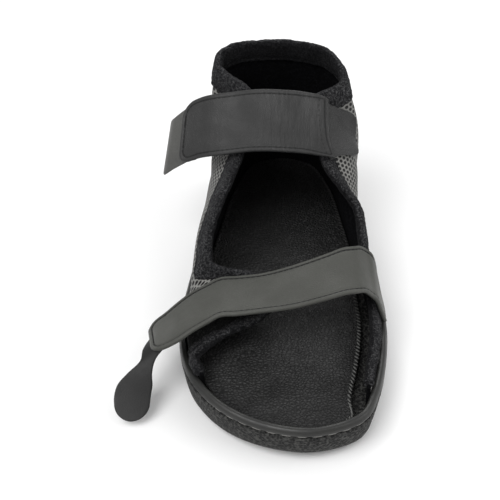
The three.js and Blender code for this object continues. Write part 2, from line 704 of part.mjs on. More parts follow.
const frontTailRows = [
  { across: -1.06, along: 0.734, rise: 0.252, swing: 70, slope: -28, wide: 0.9 },
  { across: -1.11, along: 0.757, rise: 0.253, swing: 76, slope: -30, wide: 1.1 },
  { across: -1.17, along: 0.781, rise: 0.238, swing: 82, slope: -28, wide: 1 },
  { across: -1.24, along: 0.805, rise: 0.203, swing: 88, slope: -12, wide: 0.5 },
  { across: -1.31, along: 0.827, rise: 0.168, swing: 90, slope: 0, wide: 0.75 },
  { across: -1.35, along: 0.845, rise: 0.136, swing: 92, slope: 3, wide: 1.05 },
  { across: -1.37, along: 0.863, rise: 0.103, swing: 94, slope: 3, wide: 1.1 },
  { across: -1.37, along: 0.883, rise: 0.072, swing: 94, slope: 3, wide: 0.85 },
  { across: -1.37, along: 0.896, rise: 0.053, swing: 94, slope: 3, wide: 0.4 },
];

// How much narrower the insole is than the space inside the quarters, beside the big toe
const insoleRows = [
  { round: 0.4, narrowed: 0 },
  { round: 0.6, narrowed: 6 },
  { round: 0.8, narrowed: 8 },
  { round: 0.97, narrowed: 0 },
];

// The insole, inside the quarters and out to the rim at the open toe
function insole() {
  const beside = wallInset + upperWall * half + gap * 2;
  const ahead = rimWall + gap;
  const first = quarterRows[0].round;
  const last = quarterRows.at(-1).round;
  const ease = 0.05;
  const inset = (round) => {
    const out = Math.max(first - round, round - last);
    const narrowed = between(insoleRows, "round", "narrowed", round);
    return mix(beside, ahead, clamp((out - 0.012) / ease, 0, 1)) + narrowed;
  };
  const top = (along) => seatLine(along) + insoleThickness;
  const plan = planBlock(wholeOutline(inset), 0, heelRim * 2);
  return plan.intersect(lineBlock(seatLine, gap, heelRim * 2)).subtract(lineBlock(top, 0, heelRim * 2));
}

const finish = (color, roughness) => new THREE.MeshStandardMaterial({ color, roughness, metalness: 0 });
const finishes = {
  crepe: finish(0x262626, 0.85),
  leatherette: finish(0x4a4b49, 0.5),
  grain: finish(0x2c2c2d, 0.55),
  mesh: finish(0x77736c, 0.8),
  fleece: finish(0x1f1f21, 0.95),
  loop: finish(0x141416, 0.95),
};

const shoe = new THREE.Group();
function add(name, geometry, material) {
  const mesh = new THREE.Mesh(geometry, material);
  mesh.name = name;
  shoe.add(mesh);
}

add("sole_unit", geometryOf(soleUnit()), finishes.crepe);
add("insole", geometryOf(insole()), finishes.grain);
const quarters = upper();
// at two sharp turns of the edge the fleece is trimmed to the wall
const fleece = solidOf(binding()).subtract(solidOf(quarters));
add("upper", quarters, finishes.mesh);
add("edge_binding", geometryOf(fleece), finishes.fleece);
add("heel_counter", heelCounter(), finishes.leatherette);
add("ankle_strap_tab", ankleTab(), finishes.grain);

const strapFace = strapThickness * half;
const loopTop = -strapFace - gap;
const ankleGrid = strapGrid(ankleStrapRows, ankleStrapWidth);
const frontGrid = strapGrid(frontStrapRows, frontStrapWidth);
add("ankle_strap", strapSheet(ankleGrid, strapFace, -strapFace), finishes.leatherette);
add("front_strap", strapSheet(frontGrid, strapFace, -strapFace), finishes.leatherette);
const part = (grid, from, to) => grid.slice(Math.round(grid.length * from), Math.round(grid.length * to));
const ankleLoop = part(strapGrid(ankleStrapRows, ankleStrapWidth, patchMargin), 0.24, 0.7);
const frontLoop = part(strapGrid(frontStrapRows, frontStrapWidth, patchMargin), 0.24, 0.76);
add("ankle_strap_lining", strapSheet(ankleLoop, loopTop, loopTop - patchThickness), finishes.loop);
add("front_strap_lining", strapSheet(frontLoop, loopTop, loopTop - patchThickness), finishes.loop);
const tailFace = tailThickness * half;
const ankleTail = strapGrid(ankleTailRows, ankleStrapWidth - 2);
const frontTail = strapGrid(frontTailRows, tailWidth);
add("ankle_strap_tail", strapSheet(ankleTail, tailFace, -tailFace), finishes.leatherette);
add("front_strap_tail", strapSheet(frontTail, tailFace, -tailFace), finishes.leatherette);

export default shoe;
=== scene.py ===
# %% [markdown]
# # A post-operative shoe
# The shoe has a moulded cup sole, a grained insole, a hollow upper of coarse mesh bound with fleece, a smooth
# panel at the heel, and two hook-and-loop straps. It opens at the toe and along the throat, so that a foot in
# dressings can be laid in from above. It is a right shoe: +X is its medial side, -Y its toe, +Z is up.
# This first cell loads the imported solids, whose places every piece below keeps.

import math

import bmesh
import bpy
import numpy as np
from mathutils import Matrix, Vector, noise


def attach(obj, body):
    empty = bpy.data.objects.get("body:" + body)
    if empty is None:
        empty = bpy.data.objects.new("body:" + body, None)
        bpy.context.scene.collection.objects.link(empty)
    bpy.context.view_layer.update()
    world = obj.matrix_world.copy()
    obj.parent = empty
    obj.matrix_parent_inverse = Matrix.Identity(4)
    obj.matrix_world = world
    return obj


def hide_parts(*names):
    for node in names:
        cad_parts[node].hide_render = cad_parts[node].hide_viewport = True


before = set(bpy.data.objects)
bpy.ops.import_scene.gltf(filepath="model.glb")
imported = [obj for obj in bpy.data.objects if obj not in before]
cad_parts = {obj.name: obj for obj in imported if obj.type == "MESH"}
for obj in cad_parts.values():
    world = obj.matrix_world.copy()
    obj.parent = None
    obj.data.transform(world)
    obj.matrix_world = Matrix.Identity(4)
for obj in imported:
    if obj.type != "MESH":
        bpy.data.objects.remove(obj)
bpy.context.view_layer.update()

# %% [markdown]
# ## Sizes
# The sizes are those of the solids, in millimetres, so that each soft piece lies on the space that its solid
# holds. Blender works in metres, so points are scaled once, where a mesh is made.

# %% Sizes
MM = 0.001
SOLE_LENGTH = 274.0
BALL_WIDTH = 124.0
HEEL_WIDTH = 80.0
HEEL_RIM, TOE_RIM = 36.0, 27.0
TOE_SPRING, HEEL_BEVEL = 7.5, 4.0
RIM_WALL, RIM_DEPTH = 4.5, 7.0
LIP_HEIGHT, LIP_SLOPE, GROOVE = 4.4, 2.0, 0.9
INSOLE = 6.0
COLLAR_HEIGHT = 131.0
WALL = 2.4
BAND, FLEECE = 12.0, 1.3
GAP = 0.3
STRAP = 2.2
TAIL = 1.4
HEEL_CENTRE = 0.15
WALL_INSET = RIM_WALL + GAP * 1.6 + WALL / 2
ON_BINDING = WALL / 2 + GAP * 1.5 + FLEECE + GAP * 2
print("sole", SOLE_LENGTH, "by", BALL_WIDTH, "mm, collar", COLLAR_HEIGHT, "mm high")


def y_of(along):
    """The y of a share of the length from the back of the heel."""
    return (HEEL_CENTRE - along) * SOLE_LENGTH


def along_of(y):
    return HEEL_CENTRE - y / SOLE_LENGTH


def smooth_step(x, low, high):
    t = np.clip((x - low) / (high - low), 0, 1)
    return t * t * (3 - 2 * t)

# %% [markdown]
# ## Curves through tables
# A maker's pattern is a short table: a few named places, and a smooth line through them. Two kinds of line are
# enough. `smooth_column` never swings past its rows, so a wall keeps its heights. `rounded_line` is a rounder
# curve through points in space, which suits an outline or a strap.

# %% Curves through tables
def smooth_column(places, values, at):
    """A smooth value between the rows of a table, with no swing past them."""
    places, values = np.asarray(places, float), np.asarray(values, float)
    slope = np.diff(values) / np.diff(places)
    before, after = slope[:-1], slope[1:]
    total = np.where(before + after == 0, 1, before + after)
    turn = np.zeros(len(places))
    turn[1:-1] = np.where(before * after > 0, 2 * before * after / total, 0)
    at = np.clip(at, places[0], places[-1])
    i = np.clip(np.searchsorted(places, at, side="right") - 1, 0, len(places) - 2)
    step = np.diff(places)[i]
    t = (at - places[i]) / step
    rise, run = t * t * (3 - 2 * t), t * t * (t - 1)
    start = t * (1 - t) ** 2 * step * turn[i]
    return (1 - rise) * values[i] + start + rise * values[i + 1] + run * step * turn[i + 1]


def rounded_line(stations, at, closed=False):
    """Points at shares `at` of a curve through stations, an array of rows by lanes by 3."""
    stations = np.asarray(stations, float)
    count = len(stations)
    if closed:
        place = np.asarray(at) * count
        i = np.floor(place).astype(int)
        rows = [stations[(i + k) % count] for k in (-1, 0, 1, 2)]
    else:
        place = np.clip(at, 0, 1) * (count - 1)
        i = np.minimum(np.floor(place).astype(int), count - 2)
        first, last = 2 * stations[:1] - stations[1:2], 2 * stations[-1:] - stations[-2:-1]
        padded = np.concatenate([first, stations, last])
        rows = [padded[i + k] for k in (0, 1, 2, 3)]
    w = (place - i).reshape(-1, *([1] * (stations.ndim - 1)))
    p0, p1, p2, p3 = rows

    def spacing(a, b):
        return np.maximum(np.sqrt(np.linalg.norm(a - b, axis=-1, keepdims=True)), 1e-4)

    d0, d1, d2 = spacing(p0, p1), spacing(p1, p2), spacing(p2, p3)
    leave = ((p1 - p0) / d0 - (p2 - p0) / (d0 + d1) + (p2 - p1) / d1) * d1
    arrive = ((p2 - p1) / d1 - (p3 - p1) / (d1 + d2) + (p3 - p2) / d2) * d1
    w2, w3 = w * w, w * w * w
    return (
        (2 * w3 - 3 * w2 + 1) * p1
        + (w3 - 2 * w2 + w) * leave
        + (3 * w2 - 2 * w3) * p2
        + (w3 - w2) * arrive
    )


def closed_section(above, below):
    """Joins the lanes of two faces into one loop round the piece, whose last lane is the first again."""
    return np.concatenate([above, below[:, ::-1][:, 1:-1], above[:, :1]], axis=1)


def unit(v):
    return v / np.maximum(np.linalg.norm(v, axis=-1, keepdims=True), 1e-9)


def along_line(points):
    """How far along a line of points each of them lies."""
    return np.concatenate([[0], np.cumsum(np.linalg.norm(np.diff(points, axis=0), axis=-1))])


print("halfway up a smooth column:", float(smooth_column([0, 1], [0, 1], 0.5)))

# %% [markdown]
# ## The outline of the sole
# The rim is the widest line of the sole, so its outline is the one from which every other edge is measured.
# Each row gives a share of the length from the heel, and a share of half the width on that side.

# %% The outline of the sole
OUTLINE = [
    ("heel back", 0, -0.03, HEEL_WIDTH),
    ("heel medial corner", 0.042, 0.66, HEEL_WIDTH),
    ("heel medial", 0.15, 1, HEEL_WIDTH),
    ("arch", 0.34, 0.8, BALL_WIDTH),
    ("waist medial", 0.5, 0.91, BALL_WIDTH),
    ("ball medial", 0.66, 1, BALL_WIDTH),
    ("big toe side", 0.785, 0.965, BALL_WIDTH),
    ("big toe corner", 0.895, 0.855, BALL_WIDTH),
    ("big toe front", 0.96, 0.71, BALL_WIDTH),
    ("toe tip", 1, 0.28, BALL_WIDTH),
    ("second toe", 0.985, -0.17, BALL_WIDTH),
    ("middle toes", 0.938, -0.54, BALL_WIDTH),
    ("little toe corner", 0.866, -0.81, BALL_WIDTH),
    ("little toe side", 0.795, -0.94, BALL_WIDTH),
    ("ball lateral", 0.68, -1, BALL_WIDTH),
    ("waist lateral", 0.5, -0.93, BALL_WIDTH),
    ("instep lateral", 0.32, -0.81, BALL_WIDTH),
    ("heel lateral", 0.15, -1.02, HEEL_WIDTH),
    ("heel lateral corner", 0.042, -0.7, HEEL_WIDTH),
]
outline_points = np.array([[across * width / 2, y_of(along), 0] for _, along, across, width in OUTLINE])


def outline_at(t):
    flat = np.atleast_1d(np.asarray(t, float)).ravel()
    return rounded_line(outline_points, flat, closed=True).reshape(*np.shape(t), 3)


dense = np.linspace(0, 1, 801)
dense_line = outline_at(dense)
runs = along_line(dense_line)
PERIMETER = runs[-1]
steps = np.arange(2000) / 2000
TOE_SHARE = steps[np.argmin(outline_at(np.interp(steps, runs / PERIMETER, dense))[:, 1])]
print("rim runs", round(PERIMETER), "mm, toe at", TOE_SHARE)


def feather(rounds, inset):
    """The outline moved inwards. Round is 0 at the heel and goes to 1 at the toe by the medial side, -1 by the
    lateral side."""
    rounds = np.asarray(rounds, float)
    share = np.clip(np.where(rounds >= 0, rounds * TOE_SHARE, 1 + rounds * (1 - TOE_SHARE)), 0, 1)
    t = np.interp(share, runs / PERIMETER, dense)
    ahead = outline_at(np.minimum(t + 1e-4, 1)) - outline_at(np.maximum(t - 1e-4, 0))
    inwards = unit(np.stack([ahead[..., 1], -ahead[..., 0], 0 * t], axis=-1))
    return outline_at(t) + inwards * np.asarray(inset)[..., None], inwards


def round_of(share):
    return np.where(share <= TOE_SHARE, share / TOE_SHARE, (share - 1) / (1 - TOE_SHARE))


TOE_ROLL, HEEL_ROLL = 0.66, 0.09  # where the tread leaves the floor


def floor_line(along):
    toe = np.clip((along - TOE_ROLL) / (1 - TOE_ROLL), 0, 1)
    heel = np.clip((HEEL_ROLL - along) / HEEL_ROLL, 0, 1)
    return TOE_SPRING * toe**2 + HEEL_BEVEL * heel**2


def rim_line(along):
    return HEEL_RIM + (TOE_RIM - HEEL_RIM) * smooth_step(along, 0.2, 0.7)


def seat_line(along):
    return rim_line(along) - RIM_DEPTH - INSOLE

# %% [markdown]
# ## Making pieces
# Every sheet of the shoe starts as a flat grid, added with an operator, whose corners are then moved on to the
# surface that the sheet follows. Solidify gives it its thickness and Bevel rounds its cut edges, as a maker
# cuts, lays and finishes a panel. The grid keeps a UV map in millimetres, so that a weave keeps its true size.

# %% Making pieces
def alone(piece):
    bpy.ops.object.select_all(action="DESELECT")
    bpy.context.view_layer.objects.active = piece
    piece.select_set(True)
    return piece


def bent_grid(name, points, uv=None):
    """A grid of quads laid through points, rows by lanes by 3, in millimetres."""
    rows, lanes = points.shape[:2]
    bpy.ops.object.select_all(action="DESELECT")
    bpy.ops.mesh.primitive_grid_add(x_subdivisions=lanes - 1, y_subdivisions=rows - 1, size=1)
    piece = bpy.context.object
    piece.name = piece.data.name = name
    mesh = piece.data
    assert len(mesh.vertices) == rows * lanes, (name, len(mesh.vertices), rows, lanes)
    mesh.vertices.foreach_set("co", (points.reshape(-1) * MM).astype(np.float32))
    if uv is None:
        across = np.linalg.norm(np.diff(points, axis=1), axis=-1)
        down = np.linalg.norm(np.diff(points, axis=0), axis=-1)
        u = np.concatenate([np.zeros((rows, 1)), np.cumsum(across, axis=1)], axis=1)
        v = np.concatenate([np.zeros((1, lanes)), np.cumsum(down, axis=0)], axis=0)
        uv = np.stack([u, v], axis=-1)
    corners = np.empty(len(mesh.loops), np.int32)
    mesh.loops.foreach_get("vertex_index", corners)
    layer = mesh.uv_layers.active or mesh.uv_layers.new(name="UVMap")
    layer.data.foreach_set("uv", uv.reshape(-1, 2)[corners].reshape(-1).astype(np.float32))
    mesh.update()
    return piece


def edit(piece, *operations):
    """Runs edit-mode operators on the whole piece."""
    alone(piece)
    bpy.ops.object.mode_set(mode="EDIT")
    bpy.ops.mesh.select_all(action="SELECT")
    for operation in operations:
        operation()
    bpy.ops.object.mode_set(mode="OBJECT")
    return piece


def merge(piece):
    return edit(piece, lambda: bpy.ops.mesh.remove_doubles(threshold=1e-5))


def close_holes(piece):
    """Joins the ends of a tube's grid and fills the open loops that are left."""
    merge(piece)
    shape = bmesh.new()
    shape.from_mesh(piece.data)
    open_edges = [edge for edge in shape.edges if edge.is_boundary]
    bmesh.ops.holes_fill(shape, edges=open_edges, sides=0)
    bmesh.ops.recalc_face_normals(shape, faces=shape.faces)
    shape.to_mesh(piece.data)
    shape.free()


# %% [markdown]
# ## Shared effects
# Leather, fleece and moulded rubber differ in the size and depth of the same few things: a cell pattern, a nap,
# and soft stains of light and dark. Each of these is one node group with named inputs, placed in every finish
# that needs it. All of them read object coordinates, or the UV map in millimetres, so they stay on the piece.

# %% Shared effects
def group_of(name, inputs, outputs):
    """An empty node group with named sockets: floats, or vectors where the default is a tuple."""
    tree = bpy.data.node_groups.new(name, "ShaderNodeTree")
    for label, default in inputs.items():
        kind = "NodeSocketVector" if isinstance(default, tuple) else "NodeSocketFloat"
        socket = tree.interface.new_socket(label, in_out="INPUT", socket_type=kind)
        if not isinstance(default, tuple):
            socket.default_value = default
    for label in outputs:
        tree.interface.new_socket(label, in_out="OUTPUT", socket_type="NodeSocketFloat")
    return tree, tree.nodes.new("NodeGroupInput").outputs, tree.nodes.new("NodeGroupOutput").inputs


def put(tree, kind, settings=None, **sockets):
    """A node whose sockets are set to values, or linked to other sockets."""
    node = tree.nodes.new("ShaderNode" + kind)
    for key, value in (settings or {}).items():
        setattr(node, key, value)
    for label, value in sockets.items():
        name = label.replace("_", " ")
        socket = node.inputs[int(name[1:])] if name[0] == "i" and name[1:].isdigit() else node.inputs[name]
        if isinstance(value, bpy.types.NodeSocket):
            tree.links.new(value, socket)
        else:
            socket.default_value = value
    return node


def maths(tree, operation, a, b=0.0):
    return put(tree, "Math", {"operation": operation}, i0=a, i1=b).outputs[0]


def ramp(tree, value, low, high, to_low=0.0, to_high=1.0, smooth=True):
    """Carries a value from one range to another."""
    kind = "SMOOTHSTEP" if smooth else "LINEAR"
    node = put(tree, "MapRange", {"interpolation_type": kind}, Value=value)
    for label, number in zip(("From Min", "From Max", "To Min", "To Max"), (low, high, to_low, to_high)):
        node.inputs[label].default_value = number
    return node.outputs[0]


def cloud(tree, place, scale, detail, roughness=0.5):
    """A noise texture's value."""
    return put(tree, "TexNoise", Vector=place, Scale=scale, Detail=detail, Roughness=roughness).outputs[0]


def make_stain():
    """Broad uneven light and dark, as handled goods have."""
    tree, given, out = group_of("Stain", {"Place": (0, 0, 0), "Size": 30.0}, ["Shade"])
    tree.links.new(ramp(tree, cloud(tree, given["Place"], given["Size"], 4.0, 0.6), 0.3, 0.7), out["Shade"])
    return tree


STAIN = make_stain()
print("effect:", STAIN.name)

# %% [markdown]
# Leather is a skin of pebbles with creases between them. Fleece is a cloud of tufts with strokes across it.

# %% Grain and nap
def make_grain():
    """Pebbles of leather: swollen cells with a dark crease between them, and wrinkles across them."""
    tree, given, out = group_of("Grain", {"Place": (0, 0, 0), "Cells": 600.0}, ["Height", "Crease"])
    warp = put(tree, "TexNoise", Vector=given["Place"], Scale=180.0, Detail=2.0).outputs["Color"]
    shift = put(tree, "VectorMath", {"operation": "SCALE"}, i0=warp, Scale=0.0022).outputs[0]
    place = put(tree, "VectorMath", {"operation": "ADD"}, i0=given["Place"], i1=shift).outputs[0]
    cells = put(tree, "TexVoronoi", {"feature": "DISTANCE_TO_EDGE"}, Vector=place, Scale=given["Cells"])
    dome = ramp(tree, cells.outputs["Distance"], 0.0, 0.34)
    fine = cloud(tree, place, 1900.0, 3.0)
    height = maths(tree, "ADD", dome, maths(tree, "MULTIPLY", fine, 0.35))
    tree.links.new(height, out["Height"])
    tree.links.new(ramp(tree, cells.outputs["Distance"], 0.0, 0.12, 1.0, 0.0), out["Crease"])
    return tree


def make_nap():
    """Brushed pile: tufts, finer hairs between them, and broad strokes where it was pressed."""
    tree, given, out = group_of("Nap", {"Place": (0, 0, 0), "Tuft": 900.0}, ["Height", "Shade"])
    tuft = cloud(tree, given["Place"], given["Tuft"], 6.0, 0.75)
    stroke = cloud(tree, given["Place"], 70.0, 3.0, 0.6)
    tree.links.new(maths(tree, "ADD", tuft, maths(tree, "MULTIPLY", stroke, 0.5)), out["Height"])
    spread = maths(tree, "MULTIPLY", ramp(tree, tuft, 0.42, 0.72), ramp(tree, stroke, 0.25, 0.8, 0.4, 1.0))
    tree.links.new(spread, out["Shade"])
    return tree


GRAIN, NAP = make_grain(), make_nap()
print("effects:", GRAIN.name, NAP.name)

# %% [markdown]
# Crepe rubber is pitted all over. The mesh is knitted: its holes stand in rows, each row half a hole aside.

# %% Pits and knit
def make_stipple():
    """The close pitted face of moulded crepe."""
    tree, given, out = group_of("Stipple", {"Place": (0, 0, 0), "Pits": 800.0}, ["Height", "Shade"])
    place, scale = given["Place"], given["Pits"]
    pits = put(tree, "TexVoronoi", {"feature": "SMOOTH_F1"}, Vector=place, Scale=scale).outputs[0]
    rough = cloud(tree, place, scale, 4.0)
    height = maths(tree, "ADD", pits, maths(tree, "MULTIPLY", rough, 0.8))
    tree.links.new(height, out["Height"])
    tree.links.new(ramp(tree, height, 0.68, 1.12), out["Shade"])
    return tree


def make_knit():
    """Spacer mesh: courses of light yarn with a hole between two wales, from a UV map in millimetres."""
    sockets = {"Place": (0, 0, 0), "Wale": 3.8, "Course": 2.9}
    tree, given, out = group_of("Knit", sockets, ["Height", "Yarn"])
    split = put(tree, "SeparateXYZ", Vector=given["Place"]).outputs
    row = maths(tree, "DIVIDE", split[1], given["Course"])
    column = maths(tree, "DIVIDE", split[0], given["Wale"])
    odd = maths(tree, "MULTIPLY", maths(tree, "FLOORED_MODULO", maths(tree, "FLOOR", row), 2.0), 0.5)
    x = maths(tree, "SUBTRACT", maths(tree, "FRACT", maths(tree, "ADD", column, odd)), 0.5)
    y = maths(tree, "SUBTRACT", maths(tree, "FRACT", row), 0.5)
    wide = maths(tree, "POWER", maths(tree, "MULTIPLY", x, 2.8), 2.0)
    tall = maths(tree, "POWER", maths(tree, "MULTIPLY", y, 2.45), 2.0)
    away = maths(tree, "SQRT", maths(tree, "ADD", wide, tall))
    yarn = ramp(tree, away, 0.75, 1.2)
    ply = cloud(tree, given["Place"], 2.4, 3.0)
    tree.links.new(maths(tree, "MULTIPLY", yarn, ramp(tree, ply, 0.2, 0.8, 0.75, 1.0)), out["Yarn"])
    tree.links.new(maths(tree, "ADD", yarn, maths(tree, "MULTIPLY", ply, 0.3)), out["Height"])
    return tree


STIPPLE, KNIT = make_stipple(), make_knit()
print("effects:", STIPPLE.name, KNIT.name)

# %% [markdown]
# ## Finishes
# Each finish is a Principled shader whose colour, roughness and bump come from the effects above: leatherette,
# fleece, thread, crepe rubber, mesh and insole leather. Sheen and specular level are the same all over a finish,
# so they are set on the shader's own socket.

# %% Finishes
class Finish:
    """A material with its shader at hand, and a short way to place nodes in it."""

    def __init__(self, name, roughness=0.6, **sockets):
        self.material = bpy.data.materials.new(name)
        self.material.use_nodes = True
        self.tree = self.material.node_tree
        self.shader = self.tree.nodes["Principled BSDF"]
        self.shader.inputs["Roughness"].default_value = roughness
        for label, value in sockets.items():
            self.shader.inputs[label.replace("_", " ")].default_value = value
        coordinates = self.tree.nodes.new("ShaderNodeTexCoord")
        self.place, self.uv = coordinates.outputs["Object"], coordinates.outputs["UV"]

    def effect(self, tree, place=None, **values):
        node = self.tree.nodes.new("ShaderNodeGroup")
        node.node_tree = tree
        self.tree.links.new(place or self.place, node.inputs["Place"])
        for label, value in values.items():
            node.inputs[label].default_value = value
        return node.outputs

    def over(self, shade, below, colour):
        colour = (*np.broadcast_to(colour, 3), 1)
        return put(self.tree, "Mix", {"data_type": "RGBA"}, i0=shade, i6=below, i7=colour).outputs[2]

    def colour(self, shade, dark, light):
        """A colour from dark to light; a single number stands for a grey."""
        return self.over(shade, (*np.broadcast_to(dark, 3), 1), light)

    def times(self, a, b):
        return maths(self.tree, "MULTIPLY", a, b)

    def ramp(self, value, *ends):
        return ramp(self.tree, value, *ends)

    def part(self, vector, axis):
        return put(self.tree, "SeparateXYZ", Vector=vector).outputs[axis]

    def paint(self, colour):
        self.tree.links.new(colour, self.shader.inputs["Base Color"])

    def rough(self, value):
        self.tree.links.new(value, self.shader.inputs["Roughness"])

    def bump(self, height, depth, before=None):
        node = put(self.tree, "Bump", Height=height, Strength=1.0, Distance=depth * MM)
        if before is not None:
            self.tree.links.new(before, node.inputs["Normal"])
        self.tree.links.new(node.outputs[0], self.shader.inputs["Normal"])
        return node.outputs[0]


def yarn(name, colour, roughness=0.7):
    """One colour with a little twist of light and dark along it."""
    finish = Finish(name, roughness)
    ply = finish.ramp(cloud(finish.tree, finish.place, 1500.0, 2.0), 0.3, 0.7)
    finish.paint(finish.colour(ply, np.multiply(colour, 0.6), colour))
    return finish.material


dark_thread = yarn("dark_thread", 0.003, 0.8)
# Painted light and shade: one overlock thread, in a lit grey copy and a shaded near-black copy.
overlock_thread_lit = yarn("overlock_thread_lit", (0.12, 0.12, 0.115))
overlock_thread_shaded = yarn("overlock_thread_shaded", 0.016)
light_thread = yarn("light_thread", (0.26, 0.255, 0.24))
print("threads:", [material.name for material in bpy.data.materials])

# %% [markdown]
# The dark goods are nearly the same black, so what tells them apart is the size of the pattern and how deep it
# is. Both straps carry painted shade in their stitched groove, and a dark cut edge, read from how far a place is
# from the edge.

# %% Leatherette
def leatherette(name, dark, light, cells=700.0, depth=0.08, roughness=0.5, creases=0.0, seam_shade_at=0.0):
    """Coated fabric: fine grain, a soft shine, uneven tone and, where asked, creases across the strap."""
    finish = Finish(name, roughness, Specular_IOR_Level=0.3)
    grain = finish.effect(GRAIN, Cells=cells)
    stain = finish.effect(STAIN, Size=26.0)["Shade"]
    tone = finish.times(stain, finish.ramp(grain["Crease"], 0, 1, 1.0, 0.55))
    colour = finish.colour(tone, dark, light)
    # Painted shade: the stitched groove is darkened, and a dark line runs along the cut edge, both read from the
    # UV distance to the edge.
    if seam_shade_at:
        away = finish.part(finish.uv, 1)
        off_seam = maths(finish.tree, "ABSOLUTE", maths(finish.tree, "SUBTRACT", away, seam_shade_at))
        colour = finish.over(finish.ramp(off_seam, 0.2, 0.8, 0.92, 0.0), colour, np.multiply(dark, 0.15))
        colour = finish.over(finish.ramp(away, 0.0, 0.9, 0.5, 0.0), colour, np.multiply(dark, 0.35))
    finish.paint(colour)
    finish.rough(finish.ramp(stain, 0, 1, roughness + 0.06, roughness - 0.05))
    normal = finish.bump(grain["Height"], depth)
    if creases:
        wrinkle = put(finish.tree, "Mapping", Vector=finish.place)
        wrinkle.inputs["Scale"].default_value = (330, 60, 60)
        fold = finish.ramp(cloud(finish.tree, wrinkle.outputs[0], 1.0, 3.0, 0.55), 0.35, 0.65)
        by_tab = finish.ramp(finish.part(finish.place, 0), -0.02, 0.01, 0.15, 1.0)
        finish.bump(finish.times(fold, by_tab), creases, before=normal)
    return finish.material


counter_skin = leatherette("counter_skin", 0.018, 0.03, 1300.0, 0.03)
tab_skin = leatherette("tab_skin", 0.016, 0.034, 620.0, 0.2)
ankle_skin = leatherette("ankle_skin", 0.018, 0.03, creases=0.35, seam_shade_at=3.0)
front_skin = leatherette("front_skin", (0.05, 0.051, 0.045), (0.066, 0.067, 0.06), 760.0, 0.07, seam_shade_at=3.0)
# Painted highlight: the ankle strap's leatherette, lighter where its tail folds away towards the light.
tail_skin_lit = leatherette("tail_skin_lit", (0.05, 0.05, 0.048), (0.085, 0.085, 0.08), 900.0, 0.05)
drop_skin = leatherette("drop_skin", 0.008, 0.014, 900.0, 0.05)
print("finishes so far:", len(bpy.data.materials))

# %% [markdown]
# The binding's fleece is coarse and catches the light. The lining, the flap's cloth and the loop pile are closer.

# %% Fleece
def fleece(name, dark, light, tuft=620.0, depth=1.1, sheen=0.05):
    finish = Finish(name, 0.95, Specular_IOR_Level=0.08, Sheen_Weight=sheen, Sheen_Roughness=0.5)
    finish.shader.inputs["Sheen Tint"].default_value = (0.5, 0.5, 0.52, 1)
    nap = finish.effect(NAP, Tuft=tuft)
    finish.paint(finish.colour(nap["Shade"], dark, light))
    finish.bump(nap["Height"], depth)
    return finish.material


band_fleece = fleece("band_fleece", (0.007, 0.007, 0.008), (0.12, 0.12, 0.123), 850.0, 1.3)
# Painted shade: a darker copy of the binding's fleece, for its faces that look into the shoe.
inner_fleece_shaded = fleece("inner_fleece_shaded", (0.003, 0.003, 0.0035), (0.03, 0.03, 0.032), 800.0)
lining_fleece = fleece("lining_fleece", (0.0015, 0.0015, 0.002), (0.012, 0.012, 0.014), 620.0, 0.5, 0.0)
flap_cloth = fleece("flap_cloth", 0.006, 0.05, 1100.0, 0.3, 0.0)
loop_pile = fleece("loop_pile", 0.002, (0.02, 0.02, 0.021), 1400.0, 0.4, 0.0)
print("finishes so far:", len(bpy.data.materials))

# %% [markdown]
# The sole is one moulding with two faces: pitted walls and tread, and a smooth lip.

# %% Rubber
def crepe_rubber():
    """The sole's pitted walls and tread."""
    finish = Finish("crepe_rubber", 0.7, Specular_IOR_Level=0.3)
    pits = finish.effect(STIPPLE, Pits=760.0)
    stain = finish.effect(STAIN, Size=40.0)["Shade"]
    tone = finish.times(pits["Shade"], finish.ramp(stain, 0, 1, 0.75, 1.0))
    finish.paint(finish.colour(tone, 0.002, (0.05, 0.05, 0.047)))
    finish.bump(pits["Height"], 0.9)
    return finish.material


def lip_rubber():
    """The smooth lip above the stitched groove."""
    finish = Finish("lip_rubber", 0.36, Specular_IOR_Level=0.5)
    stain = finish.effect(STAIN, Size=60.0)["Shade"]
    finish.paint(finish.colour(stain, (0.007, 0.007, 0.0065), (0.015, 0.015, 0.0135)))
    finish.rough(finish.ramp(stain, 0, 1, 0.5, 0.38))
    finish.bump(finish.effect(STIPPLE, Pits=2200.0)["Height"], 0.05)
    return finish.material


crepe, lip = crepe_rubber(), lip_rubber()
print("finishes so far:", len(bpy.data.materials))

# %% [markdown]
# The mesh's yarn is lighter than anything else on the shoe. Its holes are as dark as the lining behind them.

# %% Mesh and insole leather
def spacer_mesh():
    finish = Finish("spacer_mesh", 0.8, Specular_IOR_Level=0.3, Sheen_Weight=0.1)
    knit = finish.effect(KNIT, place=finish.uv)
    stain = finish.effect(STAIN, Size=60.0)["Shade"]
    tone = finish.times(knit["Yarn"], finish.ramp(stain, 0, 1, 0.75, 1.0))
    finish.paint(finish.colour(tone, 0.002, (0.25, 0.247, 0.235)))
    finish.bump(knit["Height"], 0.5)
    return finish.material


def insole_leather():
    """Pebbled leather, darker near its border, which is overlocked, and darker towards the heel as painted shade
    deep in the shoe.
    """
    finish = Finish("insole_leather", 0.5, Specular_IOR_Level=0.4)
    grain = finish.effect(GRAIN, Cells=500.0)
    stain = finish.effect(STAIN, Size=22.0)["Shade"]
    tone = finish.times(stain, finish.ramp(grain["Crease"], 0, 1, 1.0, 0.15))
    tone = finish.times(tone, finish.ramp(finish.part(finish.uv, 1), 2.0, 12.0, 0.45, 1.0))
    # Painted shade: darker towards the heel, where less light reaches deep in the shoe.
    tone = finish.times(tone, finish.ramp(finish.part(finish.place, 1), -0.13, -0.03, 1.0, 0.3))
    finish.paint(finish.colour(tone, 0.002, 0.03))
    finish.rough(finish.ramp(stain, 0, 1, 0.62, 0.5))
    finish.bump(grain["Height"], 0.42)
    return finish.material


mesh_cloth, insole_cloth = spacer_mesh(), insole_leather()
print("finishes:", len(bpy.data.materials))
